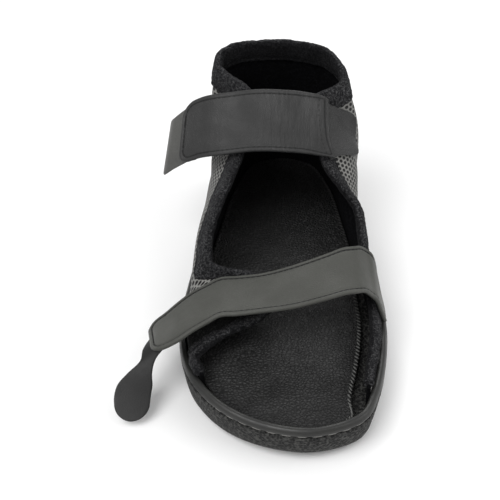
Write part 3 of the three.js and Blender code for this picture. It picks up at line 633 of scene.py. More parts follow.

# %% [markdown]
# ## The cup sole
# The sole is one moulding with a pitted wall, a stitched groove and a smooth lip. It could be carved from a
# block, but a moulding of this kind is the same section carried round the outline, so rings are laid round it,
# from the tread to the seat inside the rim. The tread's line and the cross grooves are then cut away.

# %% The sole's body
WALL_ROWS = [  # inset from the outline, share of the wall's height, drop below it
    (4.0, 0, 12.0),
    (3.4, 0, 0),
    (2.9, 0.05, 0),
    (2.2, 0.12, 0),
    (1.5, 0.27, 0),
    (1.0, 0.42, 0),
    (0.5, 0.68, 0),
    (0.1, 1, LIP_HEIGHT + 2.6),
    (0.12, 1, LIP_HEIGHT + 1.6),
    (0.3, 1, LIP_HEIGHT + 1.0),
    (0.75, 1, LIP_HEIGHT + 0.7),
    (0.3 + GROOVE, 1, LIP_HEIGHT + 0.4),
    (0.3 + GROOVE, 1, LIP_HEIGHT - 0.4),
    (0.7, 1, LIP_HEIGHT - 0.75),
    (0.15, 1, LIP_HEIGHT - 1.0),
    (0.0, 1, LIP_HEIGHT - 1.5),
    (0.2, 1, LIP_HEIGHT - 2.2),
    (0.65, 1, 1.3),
    (1.2, 1, 0.6),
    (1.7, 1, 0.18),
    (LIP_SLOPE + 0.4, 1, 0.0),
    (RIM_WALL - 1.0, 1, 0.05),
    (RIM_WALL - 0.4, 1, 0.3),
    (RIM_WALL, 1, 0.9),
    (RIM_WALL, 1, RIM_DEPTH * 0.5),
    (RIM_WALL, 1, RIM_DEPTH + INSOLE),
]
TURNS = 420
shares = np.arange(TURNS + 1) / TURNS
rings = []
for inset, rise, drop in WALL_ROWS:
    ring, _ = feather(round_of(shares), np.full(TURNS + 1, inset))
    along = along_of(ring[:, 1])
    low = floor_line(along)
    ring[:, 2] = low + (rim_line(along) - low) * rise - drop
    rings.append(ring)
around = np.broadcast_to(shares * PERIMETER, (len(rings), TURNS + 1))
lap = np.linalg.norm(np.diff(np.array(rings), axis=0), axis=-1)
up_wall = np.concatenate([np.zeros((1, TURNS + 1)), np.cumsum(lap, axis=0)])
sole = bent_grid("cup_sole", np.array(rings), np.stack([around, up_wall], axis=-1))
close_holes(sole)
print("wall and lip:", len(sole.data.polygons), "faces")

# %% [markdown]
# ## Cutting the tread
# The underside follows a line seen from the side: flat under heel and ball, lifted at the toe so that the foot
# rolls, and a little at the heel. A block under that line is taken away, and then a comb of cross grooves.

# %% Cutting the tread
def modify(piece, kind, **settings):
    """Adds a modifier with these settings and applies it."""
    alone(piece)
    modifier = piece.modifiers.new(kind.title(), kind)
    for key, value in settings.items():
        setattr(modifier, key, value)
    bpy.ops.object.modifier_apply(modifier=modifier.name)
    return piece


def cut_away(piece, cutter):
    modify(piece, "BOOLEAN", object=cutter, operation="DIFFERENCE", solver="EXACT")
    bpy.data.objects.remove(cutter)


def under_line(line, offset, far):
    """The block between a line seen from the side and a level."""
    stations = np.linspace(-0.06, 1.06, 57)
    half = BALL_WIDTH
    rows = []
    for along in stations:
        y, z = y_of(along), line(along) + offset
        rows.append([(-half, y, z), (half, y, z), (half, y, far), (-half, y, far), (-half, y, z)])
    block = bent_grid("under_line", np.array(rows, float))
    close_holes(block)
    return block


cut_away(sole, under_line(floor_line, 0, -HEEL_RIM))

BORDER = 9
GROOVE_ZONES = [(0.05, 0.28), (0.5, 0.93)]
GROOVE_WIDTH, GROOVE_PITCH, TREAD = 3.5, 14, 2.0
inner, _ = feather(round_of(shares), np.full(TURNS + 1, float(BORDER)))
for start, end in GROOVE_ZONES:
    count = max(1, math.floor((end - start) * SOLE_LENGTH / GROOVE_PITCH))
    for k in range(count + 1):
        y = y_of(start + (end - start) * k / count)
        near = inner[np.abs(inner[:, 1] - y) < 3.0]
        if len(near) < 2:
            continue
        low, high = near[:, 0].min(), near[:, 0].max()
        bpy.ops.mesh.primitive_cube_add(size=MM)
        bar = bpy.context.object
        middle = tuple(c * MM for c in ((low + high) / 2, y, floor_line(along_of(y))))
        edit(bar, lambda: bpy.ops.transform.resize(value=(high - low, GROOVE_WIDTH, 2 * TREAD)),
             lambda: bpy.ops.mesh.subdivide(number_cuts=3),
             lambda: bpy.ops.transform.translate(value=middle))
        cut_away(sole, bar)
print("tread cut:", len(sole.data.polygons), "faces")

# %% [markdown]
# Every piece gets its finish here, rides the shoe's one body, and stands for the solids it's named with. The
# sole's lip is smooth, from just under its lower edge.

# %% The sole's finish
def soften(piece, angle=40):
    alone(piece)
    bpy.ops.object.shade_smooth_by_angle(angle=math.radians(angle))
    return piece


def finished(piece, slot, materials, *nodes):
    """Gives a piece its finish and the solids that it stands for; its slot is not used."""
    indices = np.zeros(len(piece.data.polygons), np.int32)
    piece.data.polygons.foreach_get("material_index", indices)
    piece.data.materials.clear()
    for material in materials:
        piece.data.materials.append(material)
    piece.data.polygons.foreach_set("material_index", np.minimum(indices, len(materials) - 1))
    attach(piece, "root")
    if nodes:
        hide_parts(*nodes)
    print(piece.name, len(piece.data.polygons), "faces")
    return piece


lip_floor = LIP_HEIGHT - 0.5
for face in sole.data.polygons:
    x, y, z = (c / MM for c in face.center)
    face.material_index = int(z > rim_line(along_of(y)) - lip_floor)
soften(sole, 35)
finished(sole, "sole", [crepe, lip], "sole_unit")

# %% [markdown]
# ## The sole's stitches
# One long light stitch is modelled as a bead, and copied round the groove under the lip.

# %% The sole's stitches
def row_of(name, places, along, up, size):
    """Stitches: one bead is modelled, and copied with its long side along each place's direction."""
    bpy.ops.object.select_all(action="DESELECT")
    bpy.ops.mesh.primitive_uv_sphere_add(segments=8, ring_count=6, radius=0.5)
    bead = bpy.context.object
    shape = np.array([v.co[:] for v in bead.data.vertices]) * size
    faces = [list(p.vertices) for p in bead.data.polygons]
    bpy.data.objects.remove(bead)
    along = unit(along)
    side = unit(np.cross(up, along))
    over = np.cross(along, side)
    turned = (
        shape[None, :, 0:1] * along[:, None]
        + shape[None, :, 1:2] * side[:, None]
        + shape[None, :, 2:3] * over[:, None]
    )
    points = (places[:, None] + turned).reshape(-1, 3) * MM
    count = len(shape)
    mesh = bpy.data.meshes.new(name)
    copies = [[i + k * count for i in face] for k in range(len(places)) for face in faces]
    mesh.from_pydata(points.tolist(), [], copies)
    piece = bpy.data.objects.new(name, mesh)
    bpy.context.collection.objects.link(piece)
    alone(piece)
    bpy.ops.object.shade_smooth()
    return piece


STITCH_PITCH = 8.4
count = round(PERIMETER / STITCH_PITCH)
places, inwards = feather(round_of(np.arange(count) / count), np.full(count, 0.3 + GROOVE - 0.25))
places[:, 2] = rim_line(along_of(places[:, 1])) - LIP_HEIGHT
along = np.cross(inwards, [0, 0, 1])
groove_thread = row_of("groove_thread", places, along, -inwards, np.array([5.6, 0.8, 0.65]))
finished(groove_thread, "sole", [light_thread])

# %% [markdown]
# ## The insole
# A sheet of pebbled leather on foam, cut a little smaller than the cup, and narrower beside the big toe. A grid
# is drawn from edge to edge at each place along the foot, so its rows close to a point at heel and toe.

# %% The insole
def face_out(piece):
    """Turns a closed piece's faces outwards, whatever way its grid was wound."""
    return edit(piece, lambda: bpy.ops.mesh.normals_make_consistent(inside=False))


INSOLE_EDGE = [(0.4, 0), (0.6, 6), (0.8, 8), (0.97, 0)]  # round, and how much narrower it is there
INSOLE_ROUNDING, INSOLE_THICKNESS = 2.2, 4.4
FIRST_RIB, LAST_RIB = -0.775, 0.835
BESIDE, AHEAD = WALL_INSET + WALL / 2 + GAP * 2, RIM_WALL + GAP


def insole_inset(rounds):
    past = np.maximum(FIRST_RIB - rounds, rounds - LAST_RIB)
    narrowed = smooth_column(*zip(*INSOLE_EDGE), rounds)
    beyond = (rounds < INSOLE_EDGE[0][0]) | (rounds > INSOLE_EDGE[-1][0])
    widening = np.clip((past - 0.012) / 0.05, 0, 1)
    return BESIDE + (AHEAD - BESIDE) * widening + np.where(beyond, 0, narrowed)


edge_shares = np.arange(1600) / 1600
insole_edge, _ = feather(round_of(edge_shares), insole_inset(round_of(edge_shares)) + 0.2)
low_y, high_y = insole_edge[:, 1].min(), insole_edge[:, 1].max()
lengths = (1 - np.cos(np.linspace(0, np.pi, 150))) / 2
stations = low_y + (high_y - low_y) * lengths
tip = insole_edge[:, 1].argmin()
medial = insole_edge[:tip + 1]
medial = medial[np.argsort(medial[:, 1])]
lateral = np.concatenate([insole_edge[tip:], insole_edge[:1]])
lateral = lateral[np.argsort(lateral[:, 1])]
right = np.interp(stations, medial[:, 1], medial[:, 0])
left = np.interp(stations, lateral[:, 1], lateral[:, 0])
right[[0, -1]] = left[[0, -1]] = (right[[0, -1]] + left[[0, -1]]) / 2
across = (1 - np.cos(np.linspace(0, np.pi, 90))) / 2
x = left[:, None] + (right - left)[:, None] * across
y = np.broadcast_to(stations[:, None], x.shape)


def edge_distance(x, y, line):
    """How far each place lies from a closed line, and how far round the line that is."""
    flat = np.stack([x.ravel(), y.ravel()], axis=-1)
    away = np.empty(len(flat))
    which = np.empty(len(flat), int)
    for start in range(0, len(flat), 4000):
        gaps = np.linalg.norm(flat[start:start + 4000, None] - line[None, :, :2], axis=-1)
        which[start:start + 4000] = gaps.argmin(axis=1)
        away[start:start + 4000] = gaps.min(axis=1)
    return away.reshape(x.shape), (which / len(line) * PERIMETER).reshape(x.shape)


edge_away, edge_run = edge_distance(x, y, insole_edge)
round_off = np.clip(1 - edge_away / INSOLE_ROUNDING, 0, 1)
z = rim_line(along_of(y)) - RIM_DEPTH - 1.3 * (1 - np.sqrt(1 - round_off**2)) - 0.15
insole = bent_grid("insole_pad", np.stack([x, y, z], axis=-1), np.stack([edge_run, edge_away], axis=-1))
face_out(merge(insole))
modify(insole, "SOLIDIFY", thickness=INSOLE_THICKNESS * MM, offset=-1, use_even_offset=False)
soften(insole, 50)
finished(insole, "insole", [insole_cloth], "insole")

# %% [markdown]
# The insole's edge is overlocked: a short slanting stitch over the edge every three millimetres or so. One
# thread is shown in a lit and a shaded copy: grey beside the big toe, and near black elsewhere as painted shade.

# %% The insole's overlocked edge
OVERLOCK_PITCH, OVERLOCK_INSET = 3.1, 1.5
BIG_TOE_SIDE = (0.52, 0.95)
count = round(PERIMETER / OVERLOCK_PITCH)
rounds = round_of(np.arange(count) / count)
places, inwards = feather(rounds, insole_inset(rounds) + OVERLOCK_INSET)
places[:, 2] = rim_line(along_of(places[:, 1])) - RIM_DEPTH - 0.2
slant = inwards * 0.85 + np.cross(inwards, [0, 0, 1]) * 0.5 + np.array([0, 0, 0.22])
slant += np.random.default_rng(4).normal(0, 0.12, slant.shape)
leaning = np.array([0, 0, 1.0]) - inwards * 0.3
# Painted light and shade: the overlock is grey where light reaches it beside the big toe, near black elsewhere.
by_big_toe = (rounds > BIG_TOE_SIDE[0]) & (rounds < BIG_TOE_SIDE[1])
rows = {"big_toe_overlock_lit": (by_big_toe, overlock_thread_lit), "overlock_shaded": (~by_big_toe, overlock_thread_shaded)}
for name, (chosen, thread) in rows.items():
    piece = row_of(name, places[chosen], slant[chosen], leaning[chosen], np.array([3.2, 0.95, 0.8]))
    finished(piece, "insole", [thread])

# %% [markdown]
# ## The quarters
# The upper is one hollow shell. Ribs stand on the sole's inside edge and lean to the edge of the collar, the
# throat or the flap; the table gives each rib's end and how it leaves and arrives. Any place on the wall is then
# a share round and a share up, so the binding, the panel and the straps are laid out on the same wall.

# %% The quarters' table
QUARTER_COLUMNS = ("round", "along", "across", "rise", "swell", "roll")
QUARTERS = np.array([
    (-0.775, 0.85, -0.75, 0.234, 0, 0),
    (-0.745, 0.818, -0.81, 0.243, 0, 6),
    (-0.722, 0.8, -0.74, 0.262, 1, 30),
    (-0.7, 0.77, -0.55, 0.29, 6, 60),
    (-0.68, 0.734, -0.23, 0.317, 10, 74),
    (-0.658, 0.682, -0.06, 0.332, 12, 80),
    (-0.635, 0.631, -0.15, 0.332, 14, 76),
    (-0.605, 0.599, -0.35, 0.336, 18, 66),
    (-0.575, 0.595, -0.6, 0.351, 22, 50),
    (-0.548, 0.586, -0.73, 0.382, 26, 34),
    (-0.52, 0.558, -0.73, 0.435, 28, 30),
    (-0.48, 0.522, -0.7, 0.496, 30, 34),
    (-0.43, 0.456, -0.6, 0.573, 32, 38),
    (-0.38, 0.369, -0.49, 0.611, 34, 42),
    (-0.33, 0.305, -0.37, 0.71, 35, 42),
    (-0.292, 0.265, -0.27, 0.805, 35, 38),
    (-0.262, 0.232, -0.4, 0.893, 34, 26),
    (-0.232, 0.199, -0.56, 0.912, 30, 18),
    (-0.2, 0.166, -0.69, 0.935, 24, 14),
    (-0.15, 0.131, -0.68, 0.958, 16, 12),
    (-0.1, 0.102, -0.48, 0.989, 10, 13),
    (-0.05, 0.097, -0.25, 0.997, 7, 14),
    (0, 0.097, -0.03, 1, 6, 14),
    (0.05, 0.107, 0.19, 0.997, 7, 14),
    (0.1, 0.121, 0.4, 0.989, 10, 14),
    (0.15, 0.147, 0.54, 0.962, 16, 16),
    (0.2, 0.186, 0.62, 0.931, 26, 20),
    (0.235, 0.214, 0.63, 0.906, 34, 24),
    (0.265, 0.235, 0.54, 0.885, 38, 32),
    (0.3, 0.268, 0.33, 0.866, 40, 40),
    (0.34, 0.316, 0.35, 0.748, 40, 44),
    (0.38, 0.356, 0.44, 0.615, 38, 44),
    (0.42, 0.407, 0.63, 0.531, 34, 36),
    (0.45, 0.431, 0.76, 0.462, 28, 22),
    (0.49, 0.48, 0.8, 0.397, 16, 10),
    (0.54, 0.542, 0.82, 0.34, 8, 4),
    (0.6, 0.615, 0.85, 0.298, 6, 2),
    (0.65, 0.677, 0.86, 0.279, 4, 2),
    (0.7, 0.735, 0.86, 0.26, 3, 4),
    (0.76, 0.801, 0.82, 0.244, 0, 4),
    (0.81, 0.858, 0.78, 0.229, 0, 2),
    (0.835, 0.88, 0.76, 0.229, 0, 0),
], float)
print(len(QUARTERS), "ribs of", QUARTER_COLUMNS)

# %% [markdown]
# A rib leaves the rim leaning out by its swell and reaches the edge leaning in by its roll, both in degrees.

# %% The wall of the quarters
EDGE_STEP, LIFT = 0.004, 0.02


def ribs(rounds):
    """Foot, and the four control points of the curve over the rim, at places round the feather line."""
    along_e, across_e, rise_e, swell, roll = (
        smooth_column(QUARTERS[:, 0], QUARTERS[:, k], rounds) for k in range(1, 6)
    )
    foot, inwards = feather(rounds, np.full(np.shape(rounds), WALL_INSET))
    along = along_of(foot[..., 1])
    foot[..., 2] = seat_line(along) + GAP
    neck = foot.copy()
    neck[..., 2] = rim_line(along) + 0.8
    top = np.maximum(rise_e * COLLAR_HEIGHT, neck[..., 2] + FLEECE)
    edge = np.stack([across_e * BALL_WIDTH / 2, y_of(along_e), top], axis=-1)
    reach = np.linalg.norm(edge - neck, axis=-1, keepdims=True) * 0.4
    swell, roll = np.radians(swell)[..., None], np.radians(roll)[..., None]
    up = np.array([0, 0, 1.0])
    leave = up * np.cos(swell) - inwards * np.sin(swell)
    arrive = up * np.cos(roll) + inwards * np.sin(roll)
    return foot, neck, neck + leave * reach, edge - arrive * reach, edge, inwards


def wall_point(rounds, heights):
    foot, a, b, c, d, _ = ribs(rounds)
    h = np.clip(heights, 0, 1)[..., None]
    on = a * (1 - h) ** 3 + 3 * b * h * (1 - h) ** 2 + 3 * c * h**2 * (1 - h) + d * h**3
    down = np.clip(-np.asarray(heights), 0, 1)[..., None]
    return np.where(down > 0, a + (foot - a) * down, on)


def wall_normal(rounds, heights):
    h = np.clip(heights, 0, 1)
    across = wall_point(rounds + EDGE_STEP, h) - wall_point(rounds - EDGE_STEP, h)
    rise = wall_point(rounds, np.minimum(h + LIFT, 1)) - wall_point(rounds, np.maximum(h - LIFT, 0))
    out = unit(np.cross(rise, across))
    inwards = ribs(rounds)[5]
    return np.where((np.asarray(heights) < 0)[..., None], -inwards, out)


def on_wall(rounds, heights, offset):
    rounds, heights = np.broadcast_arrays(np.asarray(rounds, float), np.asarray(heights, float))
    return wall_point(rounds, heights) + wall_normal(rounds, heights) * np.asarray(offset)[..., None]


def rib_lengths(rounds):
    h = np.linspace(0, 1, 41)
    points = wall_point(*np.broadcast_arrays(rounds[:, None], h))
    return np.linalg.norm(np.diff(points, axis=1), axis=-1).sum(axis=1)


def fine_columns(per_row=9):
    """Places round the wall, closer together where the table's rows are."""
    rows = QUARTERS[:, 0]
    found = [np.linspace(a, b, per_row, endpoint=False) for a, b in zip(rows[:-1], rows[1:])]
    return np.concatenate([*found, rows[-1:]])


columns = fine_columns()
lengths = rib_lengths(columns)
print(len(columns), "places round the wall, which is up to", round(lengths.max()), "mm high")

# %% [markdown]
# The wall itself is spacer mesh outside and brushed lining inside. Its weave runs along the wall: the UV map
# counts millimetres round and up, so that the courses of yarn follow the quarters as knitted cloth does.

# %% The upper
def panel(name, points, thickness, offset=0, edge=0.5, uv=None):
    """A sheet with a real thickness and rounded cut edges."""
    piece = bent_grid(name, points, uv)
    modify(piece, "SOLIDIFY", thickness=thickness * MM, offset=offset, use_even_offset=True,
           use_quality_normals=True, material_offset=1, material_offset_rim=0)
    if edge:
        modify(piece, "BEVEL", width=edge * MM, segments=3, limit_method="ANGLE",
               angle_limit=math.radians(60), harden_normals=False)
    return soften(piece)


heights = np.concatenate([[-1, -0.5], np.linspace(0, 1, 40)])
rounds, rises = np.meshgrid(columns, heights)
shell = on_wall(rounds, rises, np.zeros(rounds.shape))
waist = wall_point(columns, np.full(len(columns), 0.45))
girth = along_line(waist)
weave = np.stack([np.broadcast_to(girth, rounds.shape), rises * lengths[None]], axis=-1)
upper = panel("mesh_upper", shell, WALL, edge=0.0, uv=weave)
face_out(upper)
finished(upper, "mesh", [mesh_cloth, lining_fleece, flap_cloth], "upper")

# %% [markdown]
# A face looks into the shoe where its own normal is turned away from the wall's nearest outward one.

# %% Inside and outside
def nearest_normals(points):
    """The outward normal of the wall nearest to each point, found on a coarse set of wall places."""
    coarse_r, coarse_h = np.meshgrid(fine_columns(4), np.linspace(0, 1, 24))
    spots = wall_point(coarse_r, coarse_h).reshape(-1, 3)
    outs = wall_normal(coarse_r, coarse_h).reshape(-1, 3)
    found = np.empty_like(points)
    for start in range(0, len(points), 1500):
        away = np.linalg.norm(points[start:start + 1500, None] - spots[None], axis=-1)
        found[start:start + 1500] = outs[away.argmin(axis=1)]
    return found


def faces_inside(piece, limit):
    """The middles of a piece's faces, and which of the faces look into the shoe."""
    middles = np.array([face.center[:] for face in piece.data.polygons]) / MM
    looks = np.array([face.normal[:] for face in piece.data.polygons])
    inside = (looks * nearest_normals(middles)).sum(axis=1) < limit
    print(piece.name, int(inside.sum()), "faces inside")
    return middles, inside


def set_finishes(piece, which):
    """Gives each face the finish of this number."""
    piece.data.polygons.foreach_set("material_index", which.astype(np.int32))


upper_middles, upper_inside = faces_inside(upper, 0.2)
set_finishes(upper, upper_inside)

# %% [markdown]
# ## The fleece binding
# A strip of fleece is folded over the raw edge and stitched through near its lower border. A flat ribbon with
# straight sides would look like tape, so its section swells between the fold and the stitches, and a slow
# unevenness runs along it as soft cloth has.

# %% The fleece binding
NEAR = WALL / 2 + GAP * 1.2
columns = fine_columns(10)
lengths = rib_lengths(columns)
band = np.clip(lengths - 0.8, 0.6, BAND)
side_steps = np.array([0, 0.04, 0.1, 0.17, 0.22, 0.28, 0.4, 0.55, 0.7, 0.85, 1.0])
side_swell = np.array([0.15, 0.75, 0.95, 0.7, 0.6, 0.8, 1.05, 1.15, 1.15, 1.1, 1.0])
at_edge = np.ones(len(columns))
edge, normal = wall_point(columns, at_edge), wall_normal(columns, at_edge)
run = unit(wall_point(columns + EDGE_STEP, at_edge) - wall_point(columns - EDGE_STEP, at_edge))
past = unit(np.cross(run, normal))
travel = along_line(edge)
uneven = 1 + 0.1 * np.sin(travel / 9.0) + 0.07 * np.sin(travel / 4.1 + 1.3)


def band_side(sign):
    rows = []
    for step, swell in zip(side_steps, side_swell):
        height = 1 - band / lengths * (1 - step)
        rows.append(on_wall(columns, height, sign * (NEAR + FLEECE * swell * uneven)))
    return rows


def band_fold():
    rows = []
    for turn in np.radians([22, 45, 68, 90, 112, 135, 158]):
        out = (NEAR + FLEECE * uneven) * np.cos(turn)
        over = (GAP + FLEECE * 1.25 * uneven) * np.sin(turn)
        rows.append(edge + past * over[:, None] + normal * out[:, None])
    return rows


print("the binding is", round(travel[-1]), "mm long")

# %% [markdown]
# The section is closed by a way back inside the fold. The tube is subdivided once, and ruffled twice.

# %% The binding's body
def ruffle(piece, size, depth):
    """Moves a soft piece's skin in and out a little, as pile and soft cloth lie unevenly."""
    places = np.array([vertex.co[:] for vertex in piece.data.vertices])
    normals = np.array([vertex.normal[:] for vertex in piece.data.vertices])
    spots = places / (size * MM)
    spots = [Vector(spot) for spot in spots.tolist()]
    swing = np.array([noise.noise(spot) + 0.5 * noise.noise(spot * 2.3) for spot in spots])
    moved = places + normals * swing[:, None] * depth * MM
    piece.data.vertices.foreach_set("co", moved.reshape(-1))
    piece.data.update()
    return piece


section = [on_wall(columns, 1 - band / lengths, NEAR * at_edge)]
section += band_side(1) + band_fold() + band_side(-1)[::-1]
section += [on_wall(columns, 1 - band / lengths, -NEAR * at_edge)]
inside = [edge + past * GAP + normal * NEAR * s for s in (-1, -0.3, 0.3, 1)]
section += inside + [section[0]]
binding = bent_grid("fleece_binding", np.array(section))
close_holes(binding)
modify(binding, "SUBSURF", levels=1, render_levels=1)
ruffle(ruffle(binding, 7.0, 0.3), 2.2, 0.32)
soften(binding, 70)
finished(binding, "binding", [band_fleece, inner_fleece_shaded], "edge_binding")
# The binding's faces that look into the shoe take the darker copy of its fleece, as painted shade.
set_finishes(binding, faces_inside(binding, -0.15)[1])

# %% [markdown]
# One row of dark stitches sinks into the binding a little above its lower border.

# %% The binding's stitches
STITCH_LINE = 0.2


def wall_stitches(name, rounds, heights, offset, size, slot):
    points = on_wall(rounds, heights, np.full(np.shape(rounds), offset))
    piece = row_of(name, points, np.gradient(points, axis=0), wall_normal(rounds, heights), np.array(size))
    return finished(piece, slot, [dark_thread])


count = round(travel[-1] / 3.6)
rounds = np.interp(np.linspace(6, travel[-1] - 6, count), travel, columns)
reach = np.clip(rib_lengths(rounds) - 0.8, 0.6, BAND)
heights = 1 - reach / rib_lengths(rounds) * (1 - STITCH_LINE)
wall_stitches("binding_thread", rounds, heights, NEAR + FLEECE * 0.62, (2.3, 0.6, 0.5), "binding")

# %% [markdown]
# ## Panels on the wall
# The heel panel and the strap's tab are leatherette, cut to shape, skived, and stitched down along their edges.
# Each is a grid of places on the wall, laid at the same distance from it as its solid.

# %% The heel panel
COUNTER = [(0, 0.68, 0.56), (0.2, 0.53, 0.5), (0.5, 0.46, 0.5), (0.8, 0.49, 0.56), (1, 0.52, 0.62)]
COUNTER_WIDTH, PANEL_FOOT, STITCH_INSET = 46, 0.012, 3.3
share = np.linspace(0, 1, 60)
table = np.array(COUNTER)
top = 1 - (BAND + GAP) / rib_lengths(np.zeros(1))[0]
lateral = -smooth_column(table[:, 0], table[:, 1], share) * COUNTER_WIDTH / (PERIMETER / 2)
medial = smooth_column(table[:, 0], table[:, 2], share) * COUNTER_WIDTH / (PERIMETER / 2)
lanes = (1 - np.cos(np.linspace(0, np.pi, 44))) / 2
rounds = lateral[:, None] + (medial - lateral)[:, None] * lanes
heights = np.broadcast_to((PANEL_FOOT + (top - PANEL_FOOT) * share)[:, None], rounds.shape)
border = np.minimum(lanes, 1 - lanes) * COUNTER_WIDTH
piping = 0.55 * np.exp(-(((border - 1.3) / 0.8) ** 2)) - 0.25 * np.exp(-(((border - 3.2) / 0.5) ** 2))
skin = on_wall(rounds, heights, WALL / 2 + GAP + 0.5 + np.broadcast_to(piping, rounds.shape))
counter = panel("heel_panel", skin, 0.8, edge=0.3)
face_out(counter)
finished(counter, "counter", [counter_skin], "heel_counter")
for side, edge_line in (("lateral", lateral), ("medial", medial)):
    offset_in = STITCH_INSET / (PERIMETER / 2) * (1 if side == "lateral" else -1)
    spots = np.linspace(0.04, 0.97, 26)
    r = np.interp(spots, share, edge_line) + offset_in
    h = PANEL_FOOT + (top - PANEL_FOOT) * spots
    wall_stitches("heel_panel_thread_" + side, r, h, WALL / 2 + GAP + 0.8, (2.4, 0.55, 0.4), "counter")

# %% [markdown]
# ## The straps
# A strap is a long band whose middle follows a table of places in the air, with the way across it at each. Its
# free end is rounded. Near each edge the two skins are stitched through, which pulls a fine groove in them.
#
# Both tables start with places on the wall, heel side and toe side, and go on with free places: across, along,
# up, the swing of the way across, its slope, and where the strap narrows, its share of the width.

# %% The straps' tables
ON_STRAPS = ON_BINDING + STRAP / 2
ON_TAB = ON_STRAPS + 1.4 + GAP
ANKLE_STRAP = [
    {"heel": (0.297, 0.95), "toe": (0.374, 0.95), "off": ON_TAB},
    {"heel": (0.3, 1), "toe": (0.378, 1), "off": ON_TAB},
    (0.21, 0.319, 0.798, 3, 50),
    (0.03, 0.318, 0.805, 1, 50),
    (-0.15, 0.316, 0.807, 0, 50),
    (-0.33, 0.314, 0.802, -1, 50),
    (-0.55, 0.312, 0.786, -3, 50),
    (-0.74, 0.303, 0.763, -4, 51),
    (-0.86, 0.292, 0.737, -6, 52),
    (-0.99, 0.285, 0.702, -8, 52),
    (-1.05, 0.284, 0.687, -9, 52, 0.86),
    (-1.07, 0.283, 0.678, -10, 52, 0.5),
]
FRONT_STRAP = [
    {"heel": (0.553, 0.08), "toe": (0.665, 0.08), "off": ON_STRAPS},
    {"heel": (0.554, 0.6), "toe": (0.666, 0.6), "off": ON_STRAPS},
    {"heel": (0.555, 1), "toe": (0.667, 1), "off": ON_STRAPS},
    (0.87, 0.631, 0.37, 3, 13),
    (0.82, 0.632, 0.396, 3, 12),
    (0.75, 0.642, 0.435, 2, 9),
    (0.68, 0.657, 0.458, 1, 8),
    (0.57, 0.668, 0.468, 0, 8),
    (0.42, 0.684, 0.466, -1, 6),
    (0.24, 0.697, 0.454, 0, 3),
    (0.06, 0.708, 0.443, 1, 0),
    (-0.18, 0.715, 0.427, 1, -4),
    (-0.42, 0.715, 0.410, 2, -4),
    (-0.58, 0.712, 0.397, 3, -4),
    (-0.69, 0.723, 0.382, 4, -4),
    (-0.83, 0.737, 0.359, 5, -4),
    (-0.96, 0.752, 0.328, 6, -6),
    (-1.06, 0.759, 0.296, 10, -12),
    (-1.16, 0.763, 0.266, 12, -16, 1),
    (-1.21, 0.765, 0.250, 12, -18, 0.84),
    (-1.24, 0.765, 0.243, 12, -18, 0.5),
]
ANKLE_TAIL = [
    (-0.81, 0.285, 0.731, -5, 51, 0.7),
    (-0.87, 0.283, 0.718, -6, 52, 0.92),
    (-1.00, 0.278, 0.682, -9, 52, 1),
    (-1.12, 0.275, 0.641, -12, 52, 1),
    (-1.20, 0.272, 0.608, -14, 52, 1),
    (-1.24, 0.257, 0.577, -14, 52, 0.96),
    (-1.23, 0.234, 0.542, -12, 50, 0.6),
    (-1.17, 0.208, 0.511, -10, 48, 0.34),
    (-1.10, 0.182, 0.481, -10, 46, 0.36),
    (-1.02, 0.157, 0.450, -10, 44, 0.5),
    (-0.96, 0.131, 0.424, -10, 42, 0.46),
    (-0.93, 0.117, 0.408, -10, 42, 0.2),
    (-0.925, 0.112, 0.402, -10, 42, 0.04),
]
FRONT_TAIL = [
    (-1.06, 0.734, 0.252, 70, -28, 0.9),
    (-1.11, 0.757, 0.253, 76, -30, 1.1),
    (-1.17, 0.781, 0.238, 82, -28, 1),
    (-1.24, 0.805, 0.203, 88, -12, 0.5),
    (-1.31, 0.827, 0.168, 90, 0, 0.75),
    (-1.35, 0.845, 0.136, 92, 3, 1.05),
    (-1.37, 0.863, 0.103, 94, 3, 1.1),
    (-1.37, 0.883, 0.072, 94, 3, 1.04),
    (-1.37, 0.895, 0.054, 94, 3, 1.0),
    (-1.37, 0.904, 0.04, 94, 3, 0.95),
]
print("tables of", [len(rows) for rows in (ANKLE_STRAP, FRONT_STRAP, ANKLE_TAIL, FRONT_TAIL)], "places")

# %% [markdown]
# A strap's surface is taken at its full width, because its body rounds its own free end.

# %% A strap's surface
def strap_frame(rows, width, lanes):
    """Lanes of points through the rows of a strap's table."""
    stations = []
    shares = np.linspace(-0.5, 0.5, lanes)
    for row in rows:
        if isinstance(row, dict):
            heel, toe = np.array(row["heel"]), np.array(row["toe"])
            spots = heel + (toe - heel) * (shares[:, None] + 0.5)
            stations.append(on_wall(spots[:, 0], spots[:, 1], np.full(lanes, row["off"])))
            continue
        across, along, rise, swing, slope = row[:5]
        wide = row[5] if len(row) > 5 else 1
        a, b = math.radians(swing), math.radians(slope)
        way = np.array([math.sin(a) * math.cos(b), -math.cos(a) * math.cos(b), -math.sin(b)])
        middle = np.array([across * BALL_WIDTH / 2, y_of(along), rise * COLLAR_HEIGHT])
        stations.append(middle + way * (shares * width * wide)[:, None])
    return np.array(stations)


